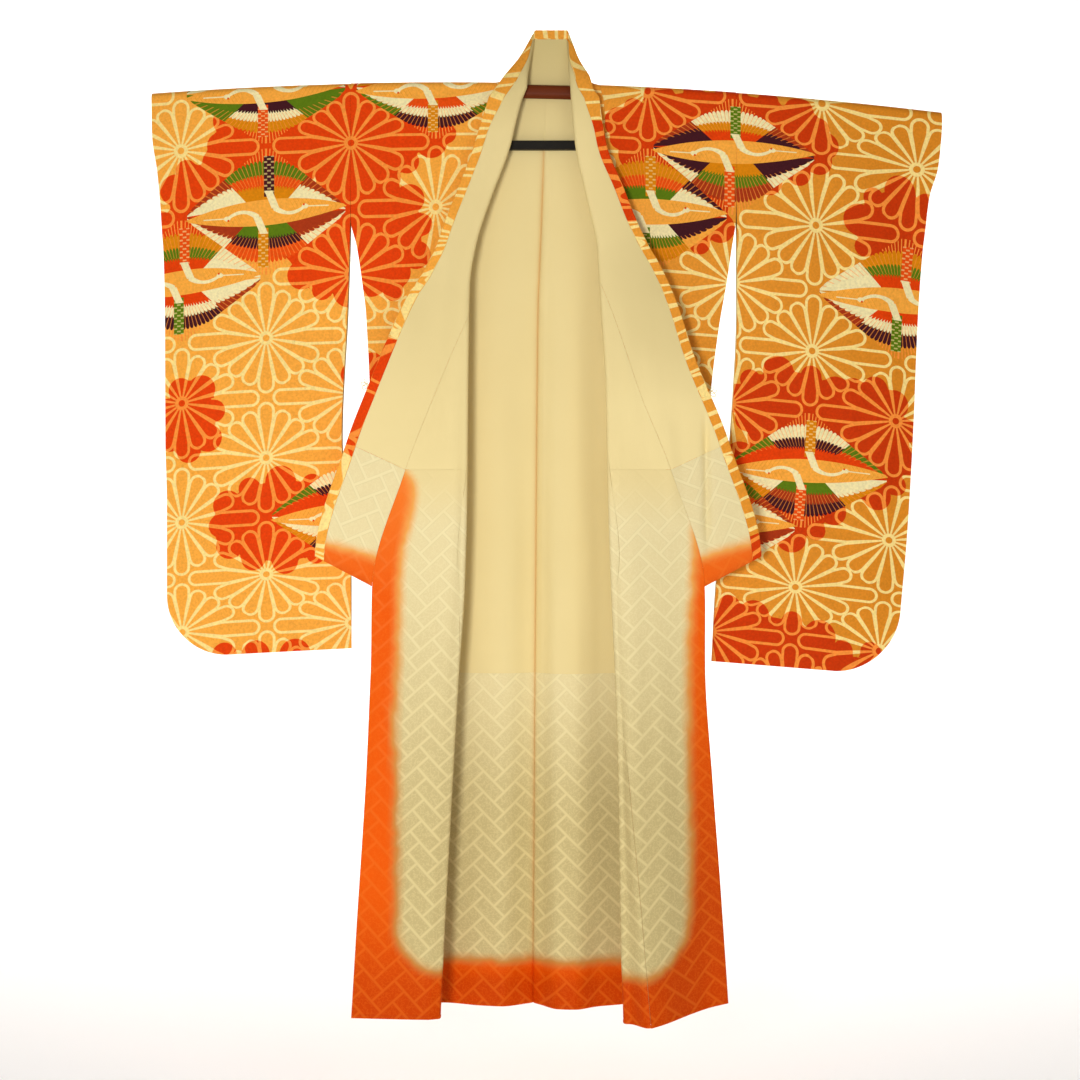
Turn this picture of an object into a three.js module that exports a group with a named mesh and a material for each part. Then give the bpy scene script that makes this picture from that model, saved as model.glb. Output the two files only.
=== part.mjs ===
// A furisode, the long-sleeved lined silk kimono, hung on a bar with its fronts turned out.
// Millimetres, +Z up, +X to the viewer's right, +Y away from the viewer.
// The origin is the middle of the bar's top, and the cloth hangs below and around it.

import * as THREE from 'three';

// Driving dimensions
const bodyLength = 1567;        // from the bar's top to the hem
const shellThickness = 1.2;     // outer silk with its interfacing
const liningThickness = 1.0;
const sleeveThickness = 1.4;
const seamGap = 0.3;            // between neighbours at a seam
const liningGap = 0.5;          // between the outer silk and its lining
const neckGap = 1.0;            // where the collar turns up from the shoulder at an angle
const collarWidth = 108;        // the wide collar, opened flat
const collarTurn = 15;          // outer silk turned over the collar's free edge
const okumiWidth = 146;         // the overlap panel at the foot of the collar and below
const okumiTop = -230;          // height of the overlap panel's point
const collarFoot = -850;        // height where the collar's seam ends
const armholeDepth = 230;       // also the depth of the cuff opening
const foldRadius = 6;           // of the roll that turns each front out
const frontLiningSplit = -656;  // where the lower lining starts on the fronts
const backLiningSplit = -1000;  // and on the back
const sleeveCorner = 100;       // radius of the sleeve's rounded corner
const sleeveMouthGap = 0.85;    // half the gap between a sleeve's two layers where they are sewn

// A sleeve's bag: half its depth when full, and how far below the armhole it is full, how wide
// its flattened outer edge and foot are, and over what height the cuff closes.
const bag = { depth: 8, full: 400, edge: 70, foot: 150, cuff: 60 };
// The sleeve's rows lie level with the bar at the shoulder and with the foot at the bottom.
const sleeveLevels = { shoulder: 250, foot: 900 };
const sideEase = 70;            // beside a side seam, where the back comes forward to the front
const leastCrest = 12;          // shortest way from the roll to the leaf's ridge
const crowding = { times: 3, reach: 9 };    // of the columns of points round a roll
const skirtTop = -1000;         // where the front edge starts to lift towards the hem

const barLength = 1322;
const barDepth = 18.6;
const barHeight = 23;
const barDropLeft = 17;         // how far the bowed bar has dropped at 669 mm out
const barDropRight = 49;
const barReach = 669;
const lowerBar = { length: 400, height: 15, depth: 10, top: -95 };
const link = { place: 150, width: 12, depth: 3 };

const quarterTurn = Math.PI / 2 * foldRadius;
const overRadius = barDepth / 2 + 2.3;      // of the cloth's middle as it passes over the bar
const overQuarter = Math.PI / 2 * overRadius;
const clothRise = 2.0;                      // of the cloth's middle above the bar's top

// Each front, by height z. side: the side seam, outwards from the middle. roll and rollY: the
// fold that turns the front out. lean: how far the turned leaf comes back for each mm outwards.
// seam: where the collar's seam, and below its foot the front edge, lies across the cloth from
// the roll, below zero behind it. ridge: how far a soft ridge stands forward on the leaf.
const leftFront = {
  sign: -1,
  okumiAtHem: 146,
  edgeLift: 0,
  rows: [
    { z: 0, side: 331, roll: 32, rollY: -22, lean: -0.27, seam: -47, ridge: 0 },
    { z: -30, side: 331, roll: 34, rollY: -24, lean: -0.27, seam: -47, ridge: 0 },
    { z: -110, side: 331, roll: 61, rollY: -28, lean: -0.27, seam: -46, ridge: 0 },
    { z: -190, side: 331, roll: 90, rollY: -34, lean: -0.27, seam: -46, ridge: 0 },
    { z: -230, side: 331, roll: 104, rollY: -38, lean: -0.25, seam: -44, ridge: 0 },
    { z: -275, side: 321, roll: 117, rollY: -42, lean: -0.23, seam: -42, ridge: 0 },
    { z: -344, side: 311, roll: 128, rollY: -47, lean: -0.16, seam: -24, ridge: 0 },
    { z: -385, side: 306, roll: 129, rollY: -50, lean: -0.12, seam: -3, ridge: 0 },
    { z: -565, side: 298, roll: 131, rollY: -57, lean: -0.06, seam: 71, ridge: 3 },
    { z: -656, side: 297, roll: 131.5, rollY: -60, lean: -0.05, seam: 105, ridge: 4 },
    { z: -850, side: 295, roll: 136, rollY: -62, lean: -0.04, seam: 156, ridge: 5 },
    { z: -1000, side: 296, roll: 146, rollY: -64, lean: 0, seam: 149, ridge: 5 },
    { z: -1180, side: 300, roll: 156, rollY: -67, lean: 0.02, seam: 147, ridge: 5 },
    { z: -1400, side: 306, roll: 168, rollY: -69, lean: 0.03, seam: 149, ridge: 5 },
    { z: -bodyLength, side: 312, roll: 176, rollY: -70, lean: 0.04, seam: 151, ridge: 5 },
  ],
};
const rightFront = {
  sign: 1,
  okumiAtHem: 134,
  edgeLift: 20,
  rows: [
    { z: 0, side: 322.5, roll: 40, rollY: -22, lean: -0.25, seam: -52, ridge: 0 },
    { z: -30, side: 322.5, roll: 43, rollY: -24, lean: -0.25, seam: -56, ridge: 0 },
    { z: -110, side: 322.5, roll: 50.5, rollY: -28, lean: -0.33, seam: -54, ridge: 0 },
    { z: -190, side: 322.5, roll: 67, rollY: -35, lean: -0.27, seam: -40, ridge: 0 },
    { z: -230, side: 322, roll: 76, rollY: -39, lean: -0.23, seam: -34, ridge: 0 },
    { z: -275, side: 316, roll: 85.5, rollY: -42, lean: -0.19, seam: -24, ridge: 0 },
    { z: -331, side: 308, roll: 89, rollY: -48, lean: -0.13, seam: 0, ridge: 0 },
    { z: -413, side: 294, roll: 94, rollY: -56, lean: -0.06, seam: 27, ridge: 0 },
    { z: -517, side: 281, roll: 100, rollY: -64, lean: -0.03, seam: 55, ridge: 0 },
    { z: -656, side: 272, roll: 102.5, rollY: -71, lean: 0, seam: 107, ridge: 2 },
    { z: -850, side: 266, roll: 108, rollY: -80, lean: 0.03, seam: 158, ridge: 6 },
    { z: -1000, side: 266, roll: 115, rollY: -84, lean: 0.14, seam: 153, ridge: 10 },
    { z: -1180, side: 276, roll: 120, rollY: -90, lean: 0.24, seam: 161, ridge: 18 },
    { z: -1400, side: 290, roll: 123, rollY: -96, lean: 0.3, seam: 174, ridge: 30 },
    { z: -bodyLength, side: 302, roll: 128, rollY: -100, lean: 0.32, seam: 180, ridge: 38 },
  ],
};

// How far the collar's free edge lies above its seam on one row, by the seam's height z.
const collarRise = [
  { z: -250, rise: 0 },
  { z: -330, rise: 10 },
  { z: -400, rise: 26 },
  { z: -500, rise: 41 },
  { z: -700, rise: 46 },
  { z: collarFoot, rise: 50 },
];

// The collar from the shoulder's front round to the back of the neck. over: the seam's place
// along the cloth over the bar, from the ridge, below zero behind it. out: its distance from
// the middle. shoulder: where the same row meets the armhole. roll and edge: the fold and the
// free edge as outwards, depth and height.
const leftNeck = {
  rows: [
    { over: 18, out: 80, shoulder: 18, roll: [32.5, -22, -9], edge: [84, -34, -11] },
    { over: 9, out: 83, shoulder: 9, roll: [32, -20.5, 1], edge: [77, -31, -1] },
    { over: 0, out: 85, shoulder: 0, roll: [31, -18, 13], edge: [71, -26, 9] },
    { over: -4, out: 80, shoulder: -5, roll: [28, -10, 32], edge: [60, -19, 24] },
    { over: -8, out: 72, shoulder: -9, roll: [25, -1, 52], edge: [49, -12, 39] },
    { over: -13, out: 54, shoulder: -18, roll: [21.5, 8, 75], edge: [36, -2, 61] },
    { over: -17, out: 38, shoulder: -34, roll: [20, 12.5, 93], edge: [20, 12.5, 93] },
    { over: -19.5, out: 22, shoulder: -60, roll: [17, 14.5, 98], edge: [17, 14.5, 98] },
  ],
};
const rightNeck = {
  rows: [
    { over: 18, out: 93, shoulder: 18, roll: [42, -22, -9], edge: [80, -36, -16] },
    { over: 9, out: 92, shoulder: 9, roll: [41, -20.5, 1], edge: [77, -32, -4] },
    { over: 0, out: 90, shoulder: 0, roll: [39.5, -18, 13], edge: [74, -27, 8] },
    { over: -4, out: 84, shoulder: -5, roll: [39, -10, 32], edge: [66, -19, 23] },
    { over: -8, out: 76, shoulder: -9, roll: [38.5, -1, 52], edge: [58, -12, 38] },
    { over: -13, out: 62, shoulder: -18, roll: [38, 8, 75], edge: [49, -2, 61] },
    { over: -17, out: 50, shoulder: -34, roll: [38, 12.5, 93], edge: [38, 12.5, 93] },
    { over: -19.5, out: 38, shoulder: -60, roll: [36, 14.5, 98], edge: [36, 14.5, 98] },
  ],
};
const napeOver = -20.2;         // the seam at the middle of the back of the neck
const napeShoulder = -78;       // where that row of the body meets the armhole
const nape = { x: 6, edgeX: 9, edgeY: 15, edgeZ: 98 };

// The back, by height z. seam: x of the centre back seam. middle: depth of the back away from
// its folds. fold: how much of the folds at the hem has formed. side: half the depth of the
// body at its side seams, which are open below the armhole.
const backRows = [
  { z: 0, seam: 0, middle: 11.6, fold: 0, side: 11.6 },
  { z: -60, seam: -1.5, middle: 12.5, fold: 0, side: 11.6 },
  { z: -230, seam: -7, middle: 15, fold: 0.08, side: 9 },
  { z: -300, seam: -10, middle: 16, fold: 0.15, side: 4.5 },
  { z: -385, seam: -13, middle: 17, fold: 0.25, side: 1.45 },
  { z: -850, seam: -17, middle: 17, fold: 0.6, side: 1.45 },
  { z: -1300, seam: -20, middle: 16, fold: 0.95, side: 1.45 },
  { z: -bodyLength, seam: -22, middle: 16, fold: 1, side: 1.45 },
];
// Folds of the back at the hem: depth against the back's middle, below zero forward.
const backFolds = [
  { x: -312, depth: 0 },
  { x: -240, depth: -3 },
  { x: -178, depth: 13 },
  { x: -110, depth: -6 },
  { x: -75, depth: -12 },
  { x: -24, depth: 9 },
  { x: 20, depth: -30 },
  { x: 50, depth: -33 },
  { x: 90, depth: -12 },
  { x: 140, depth: 4 },
  { x: 190, depth: 9 },
  { x: 302, depth: 0 },
];

// The spare width of the fronts, which stands in soft waves behind the turned-out leaf.
const spareWaves = { count: 2, depth: 12, top: -250, full: -650 };

// Sleeves, by height z. outer and inner: their two edges, outwards from the middle.
const leftSleeve = {
  sign: -1,
  bottomOuter: -968,
  bottomInner: -957,
  rows: [
    { z: 0, outer: 668, inner: 331 },
    { z: -73, outer: 667, inner: 331 },
    { z: -147, outer: 658, inner: 331 },
    { z: -230, outer: 652, inner: 331.5 },
    { z: -382, outer: 647.5, inner: 336 },
    { z: -608, outer: 646.5, inner: 346 },
    { z: -705, outer: 644, inner: 340 },
    { z: -850, outer: 644, inner: 331 },
    { z: -970, outer: 643, inner: 330 },
  ],
};
const rightSleeve = {
  sign: 1,
  bottomOuter: -996,
  bottomInner: -979,
  rows: [
    { z: -30, outer: 671, inner: 322.5 },
    { z: -118, outer: 664, inner: 322.5 },
    { z: -183, outer: 650, inner: 322.5 },
    { z: -230, outer: 645, inner: 323.5 },
    { z: -382, outer: 633, inner: 324 },
    { z: -593, outer: 624, inner: 314 },
    { z: -763, outer: 614, inner: 298 },
    { z: -890, outer: 603, inner: 287 },
    { z: -996, outer: 594, inner: 281 },
  ],
};

// Heights of the rows of points that the panels share at their seams.
const shoulderHeights = [-30, -110, -190, okumiTop];
const collarHeights = [
  -245, -300, -322, -345, -365, -385, -400, -415, -450,
  -520, -555, -590, -622, frontLiningSplit, -750, collarFoot,
];
const skirtHeights = [-1000, -1180, -1370, -bodyLength];
const backHeights = [-bodyLength, -1370, -1180, backLiningSplit, -850, -656, -450, -300, -190, -110];
const columns = { body: 10, okumi: 4, collar: 9, sleeve: 6 };

// Small arithmetic
const mix = (a, b, t) => a + (b - a) * t;
const limit = (t) => Math.min(1, Math.max(0, t));
const ease = (t) => limit(t) * limit(t) * (3 - 2 * limit(t));
const steps = (count) => Array.from({ length: count + 1 }, (_, i) => i / count);

// A column of a table at a place, on straight lines between its rows.
function read(rows, place, at, column) {
  const down = rows[0][place] > rows[1][place] ? -1 : 1;
  let i = 1;
  while (i < rows.length - 1 && (at - rows[i][place]) * down > 0) i += 1;
  const from = rows[i - 1];
  const to = rows[i];
  const t = limit((at - from[place]) / (to[place] - from[place]));
  return mix(from[column], to[column], t);
}

// Places from start to end, closer together near zero, where the roll is.
function spread(start, end, count) {
  const fine = steps(240).map((t) => mix(start, end, t));
  const weight = fine.map((c) => 1 + crowding.times * Math.exp(-((c / crowding.reach) ** 2)));
  const sums = [0];
  for (let i = 1; i < fine.length; i += 1) {
    sums.push(sums[i - 1] + (weight[i] + weight[i - 1]) / 2);
  }
  return steps(count).map((t) => {
    const goal = t * sums[sums.length - 1];
    const i = Math.max(1, sums.findIndex((sum) => sum >= goal - 1e-9));
    return mix(fine[i - 1], fine[i], (goal - sums[i - 1]) / (sums[i] - sums[i - 1]));
  });
}

// The bar's top, and the cloth that passes over it
const barTilt = (barDropLeft - barDropRight) / (2 * barReach);
const barBow = -(barDropLeft + barDropRight) / (2 * barReach ** 2);
const barTop = (x) => barTilt * x + barBow * x * x;

// A point of the cloth over the bar, at s along it from the ridge, with its inward direction.
// depthAt gives the cloth's depth where it has left the bar.
function overBar(x, s, depthAt) {
  const ridge = barTop(x) + clothRise;
  if (Math.abs(s) <= overQuarter) {
    const turn = s / overRadius;
    const at = new THREE.Vector3(
      x,
      -overRadius * Math.sin(turn),
      ridge - overRadius * (1 - Math.cos(turn)),
    );
    return { at, out: new THREE.Vector3(0, Math.sin(turn), -Math.cos(turn)) };
  }
  const z = ridge - overRadius - (Math.abs(s) - overQuarter);
  return { at: new THREE.Vector3(x, depthAt(x, z), z), out: new THREE.Vector3(0, Math.sign(s), 0) };
}

// Depth of a front's inner panel, between the roll and the side seam, out from the middle.
function panelDepth(front, out, z) {
  const row = (column) => read(front.rows, 'z', z, column);
  const start = row('roll') + foldRadius;
  const t = limit((out - start) / (row('side') - start));
  const side = -read(backRows, 'z', z, 'side');
  const wave = spareWaves.depth * ease((spareWaves.top - z) / (spareWaves.top - spareWaves.full));
  const swing = Math.sin(2 * Math.PI * spareWaves.count * (1 - t)) * Math.sin(Math.PI * t);
  return side + (row('rollY') + foldRadius - side) * (1 - t) ** 2 - wave * swing;
}

// Depth of the leaf that is turned out towards the viewer.
function leafDepth(front, out, z) {
  const row = (column) => read(front.rows, 'z', z, column);
  const reach = out - row('roll') - foldRadius;
  const crest = Math.max(leastCrest, okumiSeam(front, z) - quarterTurn);
  const rise = reach < crest ? reach / crest : 1 - limit((reach - crest) / (okumiWidth - crest));
  return row('rollY') - foldRadius + row('lean') * reach - row('ridge') * ease(rise);
}

// A front in plan at the height z: how far out and how deep it is at c across the cloth from
// its roll, below zero on the inner panel
function frontPlan(front, c, z) {
  const roll = read(front.rows, 'z', z, 'roll');
  if (Math.abs(c) <= quarterTurn) {
    const turn = c / foldRadius;
    const depth = read(front.rows, 'z', z, 'rollY') - foldRadius * Math.sin(turn);
    return { out: roll + foldRadius * (1 - Math.cos(turn)), depth };
  }
  const out = roll + foldRadius + Math.abs(c) - quarterTurn;
  return { out, depth: c > 0 ? leafDepth(front, out, z) : panelDepth(front, out, z) };
}

// A point of a front, with its direction towards the lining
function frontPoint(front, c, z) {
  const here = frontPlan(front, c, z);
  const before = frontPlan(front, c - 1.5, z);
  const after = frontPlan(front, c + 1.5, z);
  return {
    at: new THREE.Vector3(front.sign * here.out, here.depth, z),
    out: new THREE.Vector3(
      front.sign * (after.depth - before.depth),
      before.out - after.out,
      0,
    ).normalize(),
  };
}

// Seams across a front, measured from its roll
const collarSeam = (front, z) => read(front.rows, 'z', z, 'seam');
function okumiSeam(front, z) {
  const taper = limit((okumiTop - z) / (okumiTop - collarFoot));
  const below = limit((collarFoot - z) / (collarFoot + bodyLength));
  return collarSeam(front, z) - mix(okumiWidth * taper, front.okumiAtHem, below);
}
function sideSeam(front, z) {
  const row = (column) => read(front.rows, 'z', z, column);
  return -(quarterTurn + row('side') - seamGap / 2 - row('roll') - foldRadius);
}

// Depth of the back at x, and one of its points
function backDepth(x, z) {
  const front = x < read(backRows, 'z', z, 'seam') ? leftFront : rightFront;
  const fromSide = read(front.rows, 'z', z, 'side') - Math.abs(x);
  const row = (column) => read(backRows, 'z', z, column);
  const free = row('middle') + row('fold') * read(backFolds, 'x', x, 'depth');
  return mix(row('side'), free, ease(fromSide / sideEase));
}
function backPoint(x, z) {
  const slope = backDepth(x + 1, z) / 2 - backDepth(x - 1, z) / 2;
  return { at: new THREE.Vector3(x, backDepth(x, z), z), out: new THREE.Vector3(slope, -1, 0).normalize() };
}

// Half of the body, from the back's hem up over the bar and down to the front's hem
function bodyGrid(front, neck) {
  const across = steps(columns.body);
  const sideX = (z) => front.sign * (read(front.rows, 'z', z, 'side') - seamGap / 2);
  const rows = backHeights.map((z) => {
    const seam = read(backRows, 'z', z, 'seam') + front.sign * seamGap / 2;
    return across.map((u) => backPoint(mix(sideX(z), seam, u), z));
  });
  const napeRow = { over: napeOver, out: seamGap / 2, shoulder: napeShoulder };
  for (const row of [napeRow, ...neck.rows.slice().reverse()]) {
    const inner = front.sign * (row.out + (row === napeRow ? 0 : neckGap / 2));
    const over = row.over - (row.over < 0 ? neckGap : 0);
    const depthAt = (x, z) => (row.shoulder < 0 ? backDepth(x, z) : -overRadius);
    rows.push(across.map((u) => overBar(mix(sideX(0), inner, u), mix(row.shoulder, over, u), depthAt)));
  }
  for (const z of [...shoulderHeights, ...collarHeights, ...skirtHeights]) {
    const seam = z > collarHeights[0] + 1 ? collarSeam(front, z) : okumiSeam(front, z);
    const places = spread(sideSeam(front, z), seam - seamGap / 2, columns.body);
    rows.push(places.map((c) => frontPoint(front, c, z)));
  }
  return rows;
}

// The overlap panel between the front and the collar, and below the collar to its own edge
function okumiGrid(front) {
  return [...collarHeights, ...skirtHeights].map((z) => {
    const atCollar = z >= collarFoot;
    const start = okumiSeam(front, z) + seamGap / 2;
    const end = collarSeam(front, z) - (atCollar ? seamGap / 2 : 0);
    return spread(start, end, columns.okumi).map((c) => {
      const point = frontPoint(front, c, z);
      const share = limit((c - start) / (end - start));
      point.at.z += front.edgeLift * share * ease((skirtTop - z) / (bodyLength + skirtTop));
      return point;
    });
  });
}

// One row of the collar as a curve from its seam, round the roll and out to the free edge.
// It gives the row's two ends, measured from the roll, and the point at any place between.
function collarRow(seam, roll, edge) {
  const toSeam = seam.clone().sub(roll);
  const toEdge = edge.clone().sub(roll);
  if (toEdge.length() < 1) {
    return { start: -toSeam.length(), end: 0, point: (c) => roll.clone().addScaledVector(toSeam, -c / toSeam.length()) };
  }
  const away = toSeam.clone().normalize().add(toEdge.clone().normalize()).normalize();
  const across = toEdge.clone().addScaledVector(away, -toEdge.dot(away)).normalize();
  const radius = Math.min(foldRadius, toEdge.length() / 2.2);
  const quarter = Math.PI / 2 * radius;
  const middle = roll.clone().addScaledVector(away, radius);
  const seamTurn = middle.clone().addScaledVector(across, -radius);
  const edgeTurn = middle.clone().addScaledVector(across, radius);
  const point = (c) => {
    const turn = c / radius;
    if (c < -quarter) return seamTurn.clone().lerp(seam, (-c - quarter) / seamTurn.distanceTo(seam));
    if (c > quarter) return edgeTurn.clone().lerp(edge, (c - quarter) / edgeTurn.distanceTo(edge));
    const sweep = middle.clone().addScaledVector(away, -radius * Math.cos(turn));
    return sweep.addScaledVector(across, radius * Math.sin(turn));
  };
  return {
    start: -quarter - seamTurn.distanceTo(seam),
    end: quarter + edgeTurn.distanceTo(edge),
    point,
  };
}

// The rows of one half of the collar, from its foot up to the back of the neck
function collarHalf(front, neck) {
  const rows = [...shoulderHeights, ...collarHeights].reverse().map((z) => {
    const rise = read(collarRise, 'z', z, 'rise');
    const start = collarSeam(front, z) + seamGap / 2;
    const end = collarSeam(front, z) + Math.sqrt(collarWidth ** 2 - rise ** 2);
    const place = (c) => frontPoint(front, c, z + rise * (c - start) / (end - start));
    return { start, end, point: (c) => place(c).at, out: (c) => place(c).out };
  });
  for (const row of neck.rows) {
    const depthAt = () => -overRadius;
    const seam = overBar(front.sign * row.out, row.over, row.over < 0 ? backDepth : depthAt).at;
    const place = ([out, depth, height]) => new THREE.Vector3(front.sign * out, depth, height);
    rows.push(collarRow(seam, place(row.roll), place(row.edge)));
  }
  return rows;
}

// The whole collar, with columns for the lining and two more for the turned edge
function collarGrid() {
  const napeSeam = overBar(nape.x, napeOver, backDepth).at;
  const napeEdge = new THREE.Vector3(nape.edgeX, nape.edgeY, nape.edgeZ);
  const rows = [
    ...collarHalf(leftFront, leftNeck),
    collarRow(napeSeam, napeEdge, napeEdge),
    ...collarHalf(rightFront, rightNeck).reverse(),
  ];
  const places = rows.map((row) => {
    const gap = row.out ? seamGap : neckGap;
    const inner = spread(row.start, row.end - collarTurn - gap, columns.collar - 2);
    return [...inner, row.end - collarTurn, row.end - collarTurn / 2, row.end];
  });
  const points = rows.map((row, i) => places[i].map((c) => row.point(c)));
  return points.map((row, i) => row.map((at, j) => {
    if (rows[i].out) return { at, out: rows[i].out(places[i][j]) };
    const before = points[Math.max(0, i - 1)][j];
    const after = points[Math.min(points.length - 1, i + 1)][j];
    const near = row[Math.max(0, j - 1)];
    const far = row[Math.min(row.length - 1, j + 1)];
    const out = new THREE.Vector3().crossVectors(after.clone().sub(before), far.clone().sub(near));
    return { at, out: out.normalize() };
  }));
}

// A sleeve: one length folded over the bar, its layers meeting at the outer edge below the
// cuff and along the bottom, and open on the body's side below the armhole
function sleeveGrid(sleeve) {
  const edge = (z, column) => read(sleeve.rows, 'z', z, column);
  const bottom = (u) => mix(sleeve.bottomOuter, sleeve.bottomInner, u);
  const corner = sleeve.bottomOuter + sleeveCorner;
  const hang = [-60, -120, -armholeDepth, -330, -470, -620, -760, corner];
  const cornerTurns = [22.5, 45, 67.5, 90].map((angle) => angle * Math.PI / 180);
  const levels = hang.map((z) => ({ z, inset: 0 }));
  for (const turn of cornerTurns) {
    levels.push({ z: corner - sleeveCorner * Math.sin(turn), inset: sleeveCorner * (1 - Math.cos(turn)) });
  }
  const layer = (side) => levels.map(({ z, inset }) => steps(columns.sleeve).map((u) => {
    const outer = edge(z, 'outer') - inset;
    const inner = edge(z, 'inner') + seamGap / 2;
    const out = mix(outer, inner, u);
    const x = sleeve.sign * out;
    const slant = (bottom(u) - sleeve.bottomOuter) * ease(-z / sleeveLevels.foot);
    const height = z + slant + barTop(x) * ease(1 + z / sleeveLevels.shoulder);
    const side0 = read(backRows, 'z', Math.max(z, -armholeDepth), 'side');
    const sewn = ease(Math.max((outer - out) / bag.edge, (z + armholeDepth + bag.cuff) / bag.cuff));
    const open = ease((height - bottom(u)) / bag.foot) * sewn;
    const body = mix(side0, bag.depth, ease((-armholeDepth - z) / bag.full));
    return {
      at: new THREE.Vector3(x, side * mix(sleeveMouthGap, body, open), height),
      out: new THREE.Vector3(0, -side, 0),
    };
  }));
  const over = [-18, -9, 0, 9, 18].map((s) => steps(columns.sleeve).map((u) => {
    const out = mix(edge(0, 'outer'), edge(0, 'inner') + seamGap / 2, u);
    return overBar(sleeve.sign * out, s, () => -overRadius);
  }));
  return [...layer(1).reverse(), ...over, ...layer(-1)];
}

// A closed wall on a grid of points: one face at the distance lower along each point's
// inward direction, the other at upper, which may differ from column to column. The faces
// along its two long edges are all split from the higher row, so that neighbours match.
function wall(grid, lower, upper) {
  const count = grid.length;
  const width = grid[0].length;
  const face = (distance) => grid.flatMap((row) => row.map((point, j) => (
    point.at.clone().addScaledVector(point.out, distance(j)))));
  const points = [...face(() => lower), ...face(typeof upper === 'function' ? upper : () => upper)];
  const near = (i, j) => i * width + j;
  const far = (i, j) => count * width + i * width + j;
  const triangles = [];
  const quad = (a, b, c, d) => triangles.push(a, b, c, a, c, d);
  for (let i = 0; i < count - 1; i += 1) {
    for (let j = 0; j < width - 1; j += 1) {
      quad(far(i, j), far(i + 1, j), far(i + 1, j + 1), far(i, j + 1));
      quad(near(i, j), near(i, j + 1), near(i + 1, j + 1), near(i + 1, j));
    }
    for (const j of [0, width - 1]) {
      const [a, b] = grid[i][j].at.z > grid[i + 1][j].at.z ? [i, i + 1] : [i + 1, i];
      const facing = (j === 0) === (a < b);
      if (facing) quad(near(a, j), near(b, j), far(b, j), far(a, j));
      else quad(near(a, j), far(a, j), far(b, j), near(b, j));
    }
  }
  for (let j = 0; j < width - 1; j += 1) {
    quad(near(0, j + 1), near(0, j), far(0, j), far(0, j + 1));
    quad(near(count - 1, j), near(count - 1, j + 1), far(count - 1, j + 1), far(count - 1, j));
  }
  return solid(points, triangles);
}

// A geometry from points and triangles, turned so that its faces point out
function solid(points, triangles) {
  let volume = 0;
  for (let i = 0; i < triangles.length; i += 3) {
    const [a, b, c] = [0, 1, 2].map((k) => points[triangles[i + k]]);
    volume += a.dot(new THREE.Vector3().crossVectors(b, c));
  }
  if (volume < 0) triangles.reverse();
  const geometry = new THREE.BufferGeometry();
  geometry.setAttribute('position', new THREE.Float32BufferAttribute(points.flatMap((p) => p.toArray()), 3));
  geometry.setIndex(triangles);
  geometry.computeVertexNormals();
  return geometry;
}

// The bar: a rod with a rounded top and bottom, bowed along its length
function barGeometry() {
  const radius = barDepth / 2;
  const angles = steps(6).map((t) => Math.PI * t);
  const section = [
    ...angles.map((a) => [radius * Math.cos(a), -radius + radius * Math.sin(a)]),
    ...angles.map((a) => [-radius * Math.cos(a), radius - barHeight - radius * Math.sin(a)]),
  ];
  const stations = steps(14).map((t) => mix(-barLength / 2, barLength / 2, t));
  const points = stations.flatMap((x) => section.map(([y, z]) => new THREE.Vector3(x, y, z + barTop(x))));
  const size = section.length;
  const triangles = [];
  for (let i = 0; i < stations.length - 1; i += 1) {
    for (let j = 0; j < size; j += 1) {
      const next = (j + 1) % size;
      const a = i * size + j;
      const b = i * size + next;
      triangles.push(a, b, b + size, a, b + size, a + size);
    }
  }
  const last = (stations.length - 1) * size;
  for (let j = 1; j < size - 1; j += 1) {
    triangles.push(0, j + 1, j, last, last + j, last + j + 1);
  }
  return solid(points, triangles);
}

// Colours and finishes
const outerSilk = { color: '#e3832b', roughness: 0.55, metalness: 0 };
const liningSilk = { color: '#eadfa6', roughness: 0.6, metalness: 0 };
const lowerSilk = { color: '#d8cc92', roughness: 0.5, metalness: 0 };
const barWood = { color: '#7c2f20', roughness: 0.45, metalness: 0 };
const barBlack = { color: '#17191c', roughness: 0.5, metalness: 0 };

const furisode = new THREE.Group();
function add(name, geometry, finish) {
  const mesh = new THREE.Mesh(geometry, new THREE.MeshStandardMaterial(finish));
  mesh.name = name;
  furisode.add(mesh);
  return mesh;
}

// Shell and lining lie on the two sides of the same grid of points
const shellOuter = -liningGap / 2 - shellThickness;
const shellInner = -liningGap / 2;
const liningOuter = liningGap / 2;
const liningInner = liningGap / 2 + liningThickness;
const shell = (name, grid) => add(name, wall(grid, shellOuter, shellInner), outerSilk);
const lining = (name, grid, finish) => add(name, wall(grid, liningOuter, liningInner), finish);

// The last or first row of a piece drawn back by half a seam's gap
function nudged(row, dz) {
  return row.map(({ at, out }) => ({ at: at.clone().add(new THREE.Vector3(0, 0, dz)), out }));
}

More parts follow.
